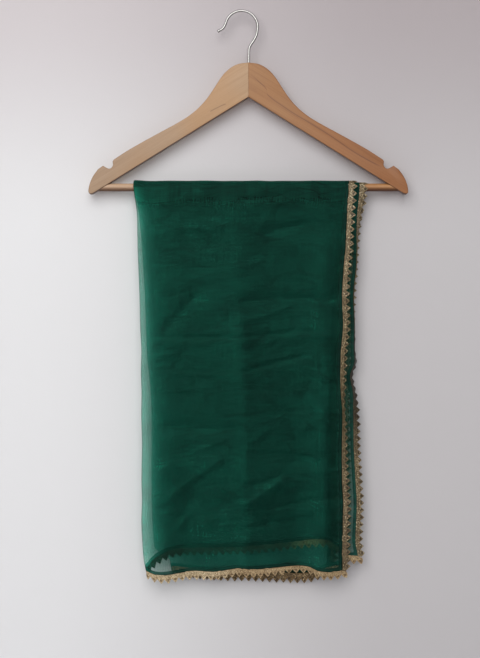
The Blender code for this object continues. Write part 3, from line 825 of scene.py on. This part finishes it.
# One column of the sheet at the given shares of the drop: x, drop, stand-off
def clothColumn(side, layer, place, share):
    widths, outerHem, innerHem = sideTables[side][:3]
    foldDrop = outerHem[0][1]
    foldX = tableAt(widths, share * foldDrop)
    spacing = layerSpacing(0.0, share)
    if layer == "fold":
        angle = math.radians(90.0 - 180.0 * place)
        x = foldX + spacing / 2 * (1 - math.cos(angle))
        bottom = outerHem[0][1] + place * (innerHem[0][1] - outerHem[0][1])
        lift = spacing / 2 * (1 + math.sin(angle))
        fineShare = 1.0 + place * (cloth["innerShare"] - 1.0)
    else:
        hem = outerHem if layer == "outer" else innerHem
        edge = 2 if layer == "outer" else 3
        start = foldX + spacing / 2
        x = start + place * (tableAt(widths, share * hem[-1][1], edge) - start)
        bottomEdgeX = float(tableAt(widths, hem[-1][1], edge))
        bottom = float(tableAt(hem, outerHem[0][0] + place * (bottomEdgeX - outerHem[0][0])))
        lift = layerSpacing(x - start, share) if layer == "outer" else 0.0
        fineShare = 1.0 if layer == "outer" else cloth["innerShare"]
    drop = share * bottom
    return x, drop, fallDepth(side, x, drop, fineShare) + lift


# Neighbours blended both ways, so that a sharp crease doesn't step from column to column
def softened(values):
    for _ in range(2):
        padded = np.pad(values, ((1, 1), (0, 0)), mode="edge")
        values = ((padded[:-2] + 2 * padded[1:-1] + padded[2:]) / 4).T
    return values


# The whole sheet's points, from the front hem over the bar to the back hem
def clothGrid():
    width = frontWidths[0][2] - frontWidths[0][1]
    count = round(width / cloth["columnStep"])
    outer = [("outer", 1 - i / count) for i in range(count)]
    fold = [("fold", i / cloth["foldColumns"]) for i in range(cloth["foldColumns"] + 1)]
    inner = [("inner", (i + 1) / count) for i in range(count)]
    columns = [*outer, *fold, *inner]
    falls = {}
    for side, rowCount in (("front", cloth["frontRows"]), ("back", cloth["backRows"])):
        outwardY = -1.0 if side == "front" else 1.0
        share = np.arange(1, rowCount + 1) / rowCount
        places = []
        for layer, place in columns:
            x, drop, offset = clothColumn(side, layer, place, share)
            places.append(np.stack([x, outwardY * offset, -drop], axis=1))
        falls[side] = np.stack(places, axis=1)
        falls[side][:, :, 1] = softened(falls[side][:, :, 1])
    # painted light and shade: the cloth is painted lighter where it leans left or up, and darker where it
    # leans right or down
    shades, opens = {}, {}
    for side, places in falls.items():
        depth = np.abs(places[:, :, 1])
        stepX = np.gradient(places[:, :, 0], axis=1)
        leanX = np.gradient(depth, axis=1) / np.where(np.abs(stepX) < 0.8, np.inf, stepX)
        leanDown = np.gradient(depth, axis=0) / -np.gradient(places[:, :, 2], axis=0)
        lean = cloth["sideShade"] * leanX + cloth["dropShade"] * leanDown
        fromFold = np.abs(places[:, :, 0] - tableAt(sideTables[side][0], -places[:, :, 2]))
        # painted glow beside the fold, with a painted dark line along the fold itself
        glow = 1.0 + cloth["foldGlow"] * np.exp(-fromFold / cloth["foldGlowOver"])
        foldLine = np.exp(-((fromFold / cloth["foldLineWidth"]) ** 2))
        glow = glow * (1.0 - cloth["foldLineDark"] * foldLine)
        atCorner = np.clip((-places[:, :, 2] - cloth["cornerFrom"]) / cloth["cornerFullAfter"], 0.0, 1.0)
        atCorner = atCorner * np.exp(-((fromFold / cloth["cornerOver"]) ** 4))
        atFold = np.exp(-((fromFold / cloth["foldOpenOver"]) ** 4))
        opens[side] = 1.0 - np.maximum(cloth["foldOpen"] * atFold, cloth["cornerOpen"] * atCorner)
        shade = 1.0 + np.where(lean > 0, cloth["paleShare"], 1.0) * lean
        shades[side] = np.clip(shade, *cloth["shadeLimits"]) * glow
    arc = []
    for i in range(2 * cloth["arcSteps"] + 1):
        angle = math.pi * i / (2 * cloth["arcSteps"])
        row = []
        for layer, place in columns:
            x, _, offset = clothColumn("front", layer, place, np.zeros(1))
            radius = float(offset[0])
            row.append((float(x[0]), -radius * math.cos(angle), radius * math.sin(angle)))
        arc.append(row)
    grid = np.concatenate([falls["front"][::-1], np.array(arc), falls["back"]])
    arcShade = np.ones((len(arc), len(columns)))
    shade = np.concatenate([shades["front"][::-1], arcShade, shades["back"]])
    opened = np.concatenate([opens["front"][::-1], arcShade, opens["back"]])
    return grid + np.array((seamX, 0.0, barZ)), {"wornAndShaded": shade, "opened": opened}


# Distances along both ways of a grid of points
def gridLengths(grid):
    across = np.zeros(grid.shape[:2])
    across[:, 1:] = np.cumsum(np.linalg.norm(np.diff(grid, axis=1), axis=2), axis=1)
    along = np.zeros(grid.shape[:2])
    along[1:] = np.cumsum(np.linalg.norm(np.diff(grid, axis=0), axis=2), axis=0)
    return across, along


def attributeOf(material, name):
    return addNode(material, "ShaderNodeAttribute", {"attribute_name": name}).outputs["Fac"]


def brightened(material, colour, by):
    return addNode(
        material, "ShaderNodeVectorMath", {"operation": "SCALE"}, {0: colour, "Scale": by}
    ).outputs["Vector"]


# Sheer polyester georgette, piece dyed bottle green: crimped fine weave that lets light
# through, soft rather than glossy, darker wherever it lies double
def sheerGeorgette():
    material = newMaterial("sheer_green_georgette")
    uv = addNode(material, "ShaderNodeUVMap", {"uv_map": "cloth"}).outputs["UV"]
    edge = attributeOf(material, "fromEdge")
    # painted light, shade and glow, read from the cloth and multiplied into both its colours below
    wornAndShaded = attributeOf(material, "wornAndShaded")
    # crimp of the threads 0.3 mm apart in truth, drawn 0.9 mm apart so that it shows
    weft = noiseAt(material, mapped(material, uv, (1100.0, 1100.0, 1.0)), 1.0, Detail=2.0, Roughness=0.6)
    # slubs: streaks 30 mm long and 1.5 mm wide across the cloth, and longer ones down it
    slub = noiseAt(material, mapped(material, uv, (34.0, 620.0, 1.0)), 1.0, Detail=4.0, Roughness=0.65)
    warp = noiseAt(material, mapped(material, uv, (480.0, 22.0, 1.0)), 1.0, Detail=4.0, Roughness=0.65)
    # crinkles: shallow ripples about 7 mm apart and 40 mm long
    crinkle = noiseAt(material, mapped(material, uv, (26.0, 150.0, 1.0)), 1.0, Detail=2.0, Distortion=0.6)
    streaks = mixed(material, 0.45, slub, warp, kind="FLOAT")
    tone = ramped(material, streaks, ((0.41, "#062a24"), (0.5, "#0a3c31"), (0.59, "#0e4a3c")))
    # turned hem: dark double edge with a paler stitched line along its middle
    hemStops = (
        (0.0, "#8c8c8c"), (0.2, "#949494"), (0.3, "#dedede"), (0.42, "#dedede"), (0.55, "#8c8c8c"),
        (0.74, "#ffffff"),
    )
    hemTone = ramped(material, remap(material, edge, 0.0, 8.0 * mm), hemStops)
    hemFrom, hemTo = (cloth["hemWidth"] + 0.5) * mm, (cloth["hemWidth"] - 0.5) * mm
    hem = remap(material, edge, hemFrom, hemTo, smooth=True)
    # two sheer layers show a watered pattern, wavy bands about 3.5 mm apart down the cloth
    watered = addNode(
        material,
        "ShaderNodeTexWave",
        {"wave_type": "BANDS", "bands_direction": "X"},
        {"Vector": uv, "Scale": 90.0, "Distortion": 9.0, "Detail": 3.0, "Detail Scale": 0.9},
    ).outputs["Fac"]
    body = remap(material, streaks, 0.38, 0.62, 0.53, 0.68)
    body = maths(material, "ADD", body, remap(material, watered, 0.0, 1.0, -0.045, 0.045))
    # the threads spread open beside the fold
    body = maths(material, "MULTIPLY", body, attributeOf(material, "opened"))
    # the weave closes up where the cloth turns edge-on, as round the fold
    facing = addNode(material, "ShaderNodeLayerWeight", None, {"Blend": 0.5}).outputs["Facing"]
    closing = remap(material, facing, 0.35, 0.95, 0.0, 0.8, smooth=True)
    # and where it lies on the bar
    place = ownPlace(material)
    height = splitOf(material, place)["Z"]
    onBar = remap(material, height, (barZ - 38.0) * mm, (barZ - 2.0) * mm, 0.0, 0.85, smooth=True)
    closed = maths(material, "MAXIMUM", hem, maths(material, "MAXIMUM", onBar, closing))
    cover = mixed(material, closed, body, 0.95, kind="FLOAT")
    crimp = maths(material, "MULTIPLY_ADD", hem, 1.2, weft)
    rippled = bumped(material, crinkle, 0.5, 0.0004)
    bump = bumped(material, crimp, 0.15, 0.0003, Normal=rippled)
    # painted light and shade: crumpled facets, each painted a little lighter or darker as if it leaned its
    # own way, with painted shade along the faint creases between: large, then small
    reach = noiseAt(material, uv, 22.0, Detail=1.0)
    for across, down, turn, change, line in cloth["facets"]:
        facetPlace = mapped(material, uv, (across, down, 1.0), (0.0, 0.0, math.radians(turn)))
        swirl = noiseAt(material, facetPlace, 1.1, "Color", Detail=1.0)
        facetPlace = mixed(material, 0.45, facetPlace, swirl, kind="VECTOR")
        cells = cellsAt(material, facetPlace, 1.8, "F1", "2D")
        lean = channelsOf(material, cells["Color"])["Red"]
        paintedFacetLight = remap(material, lean, 0.0, 1.0, 1.0 - change, 1.0 + change)
        border = cellsAt(material, facetPlace, 1.8, "DISTANCE_TO_EDGE", "2D")["Distance"]
        reached = remap(material, reach, 0.42, 0.6, 0.0, line)
        paintedCreaseShade = maths(material, "MULTIPLY", remap(material, border, 0.09, 0.0, smooth=True), reached)
        wornAndShaded = maths(material, "MULTIPLY", wornAndShaded, maths(material, "SUBTRACT", paintedFacetLight, paintedCreaseShade))
    hemmed = mixed(material, 1.0, tone, hemTone, "MULTIPLY")
    sockets = {
        "Base Color": brightened(material, hemmed, wornAndShaded),
        "Roughness": 0.62,
        "IOR": 1.5,
        "Specular IOR Level": 0.08,
        "Sheen Weight": 0.12,
        "Sheen Roughness": 0.45,
        "Sheen Tint": linear("#4fa084"),
        "Normal": bump,
    }
    shader = principled(material, sockets)
    glowing = brightened(material, linear("#39af98")[:3], wornAndShaded)
    sockets = {"Color": glowing, "Normal": bump}
    glow = addNode(material, "ShaderNodeBsdfTranslucent", None, sockets).outputs["BSDF"]
    through = mixed(material, hem, 0.35, 0.12, kind="FLOAT")
    solid = mixedShaders(material, through, shader, glow)
    sockets = {"Color": linear("#f8fbfa")}
    clear = addNode(material, "ShaderNodeBsdfTransparent", None, sockets).outputs["BSDF"]
    return finishMaterial(material, mixedShaders(material, cover, clear, solid))


def stoleCloth(grid, wearAndShading, material):
    rowCount, columnCount = grid.shape[:2]
    work = bmesh.new()
    placeGrid(gridOf(work, rowCount, columnCount), grid)
    work.verts.index_update()
    across, along = gridLengths(grid)
    fromEdge = np.minimum.reduce([across, across[:, -1:] - across, along, along[-1:] - along]) * mm
    piece = finishPiece("stoleCloth", work, [material], 180.0)
    mesh = piece.data
    # create_grid numbers its points row by row
    corners = np.empty(len(mesh.loops), np.int32)
    mesh.loops.foreach_get("vertex_index", corners)
    uv = np.stack([across, along], axis=2).reshape(-1, 2)[corners] * mm
    layer = mesh.uv_layers.new(name="cloth")
    layer.data.foreach_set("uv", uv.astype(np.float32).ravel())
    for label, values in {"fromEdge": fromEdge, **wearAndShading}.items():
        attribute = mesh.attributes.new(label, "FLOAT", "POINT")
        attribute.data.foreach_set("value", values.astype(np.float32).ravel())
    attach(piece, "root")
    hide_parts("stole_front_fall", "stole_back_fall")
    return piece


print("cloth")
grid, wearAndShading = clothGrid()
stole = stoleCloth(grid, wearAndShading, sheerGeorgette())


# Lace: a woven metallic strip with a corded edge and a row of pointed teeth
lace = {
    "pitch": 10.0,
    "band": 4.9,
    "tooth": 6.6,
    "overlap": 1.0,
    "toothSteps": 8,
    "cordRadius": 0.38,
    "cordSides": 6,
    "edgeCordAt": 0.2,
    "bandCordAt": 4.5,
    "tiltDegrees": 9.0,
    "cornerRadius": 6.0,
    "glint": "#e2d5b4",
    "cordLift": 0.2,
    "toothCordIn": 0.3,
    "swingGap": 0.3,
}
# Columns: drop, degrees that the long edges' lace swings out of the front's plane
outerSwing = (
    (0.0, 0.0), (90.0, 18.0), (150.0, 24.0), (185.0, 34.0), (215.0, 34.0), (248.0, 45.0),
    (276.0, 52.0), (300.0, 74.0), (322.0, 72.0), (345.0, 58.0), (372.0, 47.0), (396.0, 36.0),
    (437.0, 20.0), (500.0, 4.0), (520.0, 0.0),
)
innerSwing = (
    (0.0, 0.0), (20.0, 18.0), (54.0, 60.0), (86.0, 86.0), (142.0, 88.0), (220.0, 80.0),
    (256.0, 66.0), (292.0, 55.0), (312.0, 36.0), (367.0, 28.0), (520.0, 24.0),
)
# Columns: x, degrees that the front end's lace turns up toward the viewer
frontLift = (
    (-150.0, 0.0), (20.0, 6.0), (44.0, 34.0), (60.0, 44.0), (86.0, 44.0), (98.0, 24.0), (112.0, 0.0),
    (140.0, 0.0),
)


# Metallic braid: flat gilt thread woven over a tan core, worn to a champagne tone
def giltBraid(name, tones, threadWidth, sparkle, alongRun):
    material = newMaterial(name)
    uv = addNode(material, "ShaderNodeUVMap", {"uv_map": "lace"}).outputs["UV"]
    perMetre = 1.0 / (threadWidth * mm)
    turned = mapped(material, uv, (perMetre, perMetre, 1.0), (0.0, 0.0, math.radians(42.0)))
    threads = cellsAt(material, turned, 1.0, Randomness=0.55)["Distance"]
    glints = channelsOf(material, cellsAt(material, turned, 1.0)["Color"])
    # here only patchy wear about 6 mm across, added to the threads' pattern
    wearAndShading = noiseAt(material, uv, 160.0, Detail=3.0)
    wornAndShaded = maths(material, "MULTIPLY_ADD", wearAndShading, 0.5, threads)
    # painted shade: a darker eye in the middle of each tooth, 3 mm across, as shade in a sunken hole
    split = splitOf(material, uv)
    phase = maths(material, "PINGPONG", split["X"], lace["pitch"] / 2 * mm)
    sockets = {"X": phase, "Y": split["Y"]}
    eyePlace = addNode(material, "ShaderNodeCombineXYZ", None, sockets).outputs["Vector"]
    eyeMiddle = (lace["pitch"] / 2 * mm, (lace["band"] + 0.3 * lace["tooth"]) * mm, 0.0)
    fromEye = addNode(
        material, "ShaderNodeVectorMath", {"operation": "DISTANCE"}, {0: eyePlace, 1: eyeMiddle}
    ).outputs["Value"]
    eyeShade = remap(material, fromEye, 1.9 * mm, 1.0 * mm, 0.0, 0.45, smooth=True)
    blend = maths(material, "ADD", wornAndShaded, eyeShade)
    lit = ramped(material, blend, tuple(zip((0.32, 0.62, 0.95), tones)))
    # painted glints: random thread cells painted pale, as painted highlights
    glint = remap(material, glints["Red"], 1.0 - sparkle, 1.0)
    lit = mixed(material, glint, lit, linear(lace["glint"]))
    # painted shade: a dark line beside the cloth's cord
    cordShadeStops = ((0.0009, "#ffffff"), (0.0013, "#8a8178"), (0.0019, "#8a8178"), (0.0023, "#ffffff"))
    lit = mixed(material, 1.0, lit, ramped(material, split["Y"], cordShadeStops), "MULTIPLY")
    # painted shade along stretches of its run in metres, from the given stops; on the back end only an even
    # warmer tone
    lit = mixed(material, 1.0, lit, ramped(material, split["X"], alongRun), "MULTIPLY")
    bump = bumped(material, maths(material, "SUBTRACT", glints["Green"], threads), 0.5, 0.0004)
    sockets = {"Base Color": lit, "Metallic": 0.25, "Roughness": 0.52, "Normal": bump}
    return finishMaterial(material, principled(material, sockets))


# Border points with outward directions become evenly spaced samples along the strip
def laceSamples(border, outward):
    border = np.array(border, float)
    outward = unitRows(np.array(outward, float))
    steps = np.linalg.norm(np.diff(border, axis=0), axis=1)
    turns = np.arccos(np.clip((outward[1:] * outward[:-1]).sum(axis=1), -1.0, 1.0))
    gone = np.concatenate([[0.0], np.cumsum(np.maximum(steps, turns * lace["cornerRadius"]))])
    teeth = max(round(gone[-1] / lace["pitch"]), 1)
    at = np.linspace(0.0, gone[-1], teeth * lace["toothSteps"] + 1)
    places = np.stack([np.interp(at, gone, border[:, i]) for i in range(3)], axis=1)
    outs = unitRows(np.stack([np.interp(at, gone, outward[:, i]) for i in range(3)], axis=1))
    return places, outs, at, teeth


# Bends some outward directions about the border, and keeps the lace clear of the cloth
def swingLace(border, outward, table, toward):
    along = unitRows(np.gradient(border, axis=0))
    outward = unitRows(outward)
    across = unitRows(np.cross(along, outward))
    across = across * np.where(across[:, 1:2] > 0, toward, -toward)
    drop = barZ - border[:, 2]
    angle = np.radians(tableAt(table, drop) * (border[:, 1] < 0))[:, None]
    swung = outward * np.cos(angle) + across * np.sin(angle)
    return border - outward * lace["swingGap"] * np.sin(angle), swung


def addUv(work, layer, values):
    for face in work.faces:
        for loop in face.loops:
            loop[layer].uv = values[loop.vert]


def laceStrip(name, node, border, outward, seed, materials):
    draw = np.random.default_rng(seed)
    places, outs, at, teeth = laceSamples(border, outward)
    steps = lace["toothSteps"]
    facing = unitRows(np.cross(unitRows(np.gradient(places, axis=0)), outs))
    order = np.arange(len(at))
    toothOf = np.minimum(order // steps, teeth - 1)
    inTooth = (order % steps) / steps
    tilt = np.radians(draw.uniform(-1, 1, teeth) * lace["tiltDegrees"])[toothOf]
    reach = draw.uniform(0.93, 1.03, teeth)[toothOf]
    wave = draw.uniform(-0.25, 0.25, teeth)[toothOf] * np.sin(math.pi * inTooth)
    rim = lace["band"] + lace["tooth"] * (1.0 - np.abs(2 * inTooth - 1)) * reach
    work = bmesh.new()
    uvLayer = work.loops.layers.uv.new("lace")
    runU = order / steps * lace["pitch"] * mm

    def spots(across, lift=0.0):
        past = np.maximum(across - lace["band"], 0.0)
        swing = (tilt * past / lace["tooth"])[:, None]
        bent = outs * np.cos(swing) + facing * np.sin(swing)
        flat = places + outs * (across - past)[:, None]
        return flat + bent * past[:, None] + facing * (lift + wave)[:, None]

    # the woven ground, its outer edge cut to the teeth
    toBand = np.linspace(-lace["overlap"], lace["band"], 3)
    levels = [np.full(len(at), float(v)) for v in toBand]
    levels += [lace["band"] + (rim - lace["band"] + 0.05) * share for share in (0.5, 1.0)]
    ground = gridOf(work, len(levels), len(at))
    values = {}
    for verts, across in zip(ground, levels):
        for vert, place, u, v in zip(verts, spots(across), runU, across):
            vert.co = place
            values[vert] = (u, v * mm)
    addUv(work, uvLayer, values)

    # corded lines: beside the cloth, along the band, and round the teeth
    def cord(across, radius, everyStep):
        centre = spots(across, lace["cordLift"])[::everyStep]
        up = facing[::everyStep]
        beside = unitRows(np.cross(unitRows(np.gradient(centre, axis=0)), up))
        tubeWork = bmesh.new()
        tubeUv = tubeWork.loops.layers.uv.new("lace")
        sides = lace["cordSides"]
        found = {}
        for s, verts in enumerate(gridOf(tubeWork, sides + 1, len(centre))):
            angle = 2 * math.pi * s / sides
            ring = centre + radius * (up * math.cos(angle) + beside * math.sin(angle))
            for vert, place, u in zip(verts, ring, runU[::everyStep]):
                vert.co = place
                found[vert] = (u, angle * radius * mm)
        for face in tubeWork.faces:
            face.material_index = 1
        addUv(tubeWork, tubeUv, found)
        bmesh.ops.remove_doubles(tubeWork, verts=tubeWork.verts[:], dist=0.002)
        bmesh.ops.recalc_face_normals(tubeWork, faces=tubeWork.faces[:])
        tube = bpy.data.meshes.new("tube")
        tubeWork.to_mesh(tube)
        tubeWork.free()
        work.from_mesh(tube)
        bpy.data.meshes.remove(tube)

    cord(np.full(len(at), lace["edgeCordAt"]), lace["cordRadius"] * 1.25, 4)
    cord(np.full(len(at), lace["bandCordAt"]), lace["cordRadius"], 4)
    cord(rim - lace["toothCordIn"], lace["cordRadius"] * 1.1, 1)
    piece = finishPiece(name, work, materials, 50.0)
    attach(piece, "root")
    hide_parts(node)
    return piece


# Turns the outward direction round a corner, from one edge's to the next one's
def cornerFan(place, fromOut, toOut, count=5):
    outs = []
    for i in range(1, count):
        share = i / count
        outs.append(fromOut * math.cos(share * math.pi / 2) + toOut * math.sin(share * math.pi / 2))
    return [place] * (count - 1), outs


print("lace")
# two copies of the same braid: a shaded copy for the long edges and the back end, and a copy painted lighter,
# as painted light, for the front end
shadedLaceTones = ("#b3a484", "#7f6f52", "#3d3120")
shadedCordTones = ("#bdad8c", "#93825f", "#57472f")
litLaceTones = ("#e6d6b6", "#c8b592", "#715d40")
litCordTones = ("#ebdcbd", "#cfbb98", "#8c7654")


def lacePair(name, braidTones, cordTones, alongRun):
    return [
        giltBraid("gilt_thread_braid_" + name, braidTones, 1.3, 0.12, alongRun),
        giltBraid("gilt_thread_cord_" + name, cordTones, 1.0, 0.08, alongRun),
    ]


# from the fold almost to the far corner, the front end's lace hangs behind the outer layer and is painted
# dark green there as painted shade, paler over one short stretch; it is also a little darker for its first
# 0.15 m
frontRun = gridLengths(grid)[0][0] + lace["cornerRadius"] * math.pi / 2
turned = frontRun[len(frontRun) // 2] * mm
facing = (frontRun[-1] - 18.0) * mm
frontStops = (
    (0.0, "#dfd5c8"), (0.15, "#d8cdbf"), (0.19, "#ffffff"), (turned - 0.003, "#ffffff"),
    (turned + 0.003, "#1c4634"), (turned + 0.15, "#22503a"), (turned + 0.205, "#30583f"),
    (turned + 0.224, "#a4b494"), (turned + 0.248, "#a4b494"), (turned + 0.262, "#46614a"),
    (facing - 0.003, "#46614a"), (facing + 0.003, "#d9cec0"),
)
# the outer edge's lace is a little darker for its first 0.3 m, with a narrow painted dark line, painted shade
# in a notch, 55.5 mm short of the bar
outerLength = gridLengths(grid)[1][cloth["frontRows"]][0] * mm
joint = outerLength - 0.0555
outerStops = (
    (0.0, "#d8d2c8"), (0.12, "#d6d0c6"), (0.3, "#eeeae4"), (joint - 0.0016, "#f0ece6"),
    (joint - 0.0008, "#3c342c"), (joint + 0.0006, "#3c342c"), (joint + 0.0014, "#ffffff"),
)
# the inner edge's lace is painted dark from about 0.13 to 0.48 m along its run, painted shade where it turns
# away behind the cloth
innerStops = (
    (0.0, "#ffffff"), (0.13, "#f4f0ea"), (0.2, "#8a847a"), (0.3, "#4c4a42"), (0.4, "#d9d2c8"),
    (0.48, "#ffffff"),
)
backStops = ((0.0, "#f6e4cd"), (0.6, "#f6e4cd"))
longEdges = (
    ("laceOuterEdge", "lace_outer_edge", 0, 1, outerSwing, -1.0, outerStops),
    ("laceInnerEdge", "lace_inner_edge", -1, -2, innerSwing, 1.0, innerStops),
)
for name, node, column, neighbour, table, toward, stops in longEdges:
    materials = lacePair(node, shadedLaceTones, shadedCordTones, stops)
    line = grid[:, column]
    line, outward = swingLace(line, line - grid[:, neighbour], table, toward)
    laceStrip(name, node, line, outward, 11 + column, materials)
shortEdges = (
    ("laceFrontEnd", "lace_front_end", 0, 1, litLaceTones, litCordTones, frontStops, frontLift),
    ("laceBackEnd", "lace_back_end", -1, -2, shadedLaceTones, shadedCordTones, backStops, None),
)
for name, node, row, neighbour, tones, cordTones, stops, lift in shortEdges:
    materials = lacePair(node, tones, cordTones, stops)
    line = grid[row]
    down = unitRows(line - grid[neighbour])
    if lift:
        # the outer layer's part of the hem alone is turned up toward the front
        onOuter = np.arange(len(line)) < len(line) // 2
        angle = np.radians(tableAt(lift, line[:, 0] - seamX) * onOuter)[:, None]
        down = down * np.cos(angle) + np.array((0.0, -1.0, 0.0)) * np.sin(angle)
    startPlaces, startOuts = cornerFan(line[0], unitRows(grid[row, 0] - grid[row, 1]), down[0])
    endPlaces, endOuts = cornerFan(line[-1], unitRows(grid[row, -1] - grid[row, -2]), down[-1])
    border = [*startPlaces, *line, *reversed(endPlaces)]
    outward = [*startOuts, *down, *reversed(endOuts)]
    laceStrip(name, node, border, outward, 31 + row, materials)
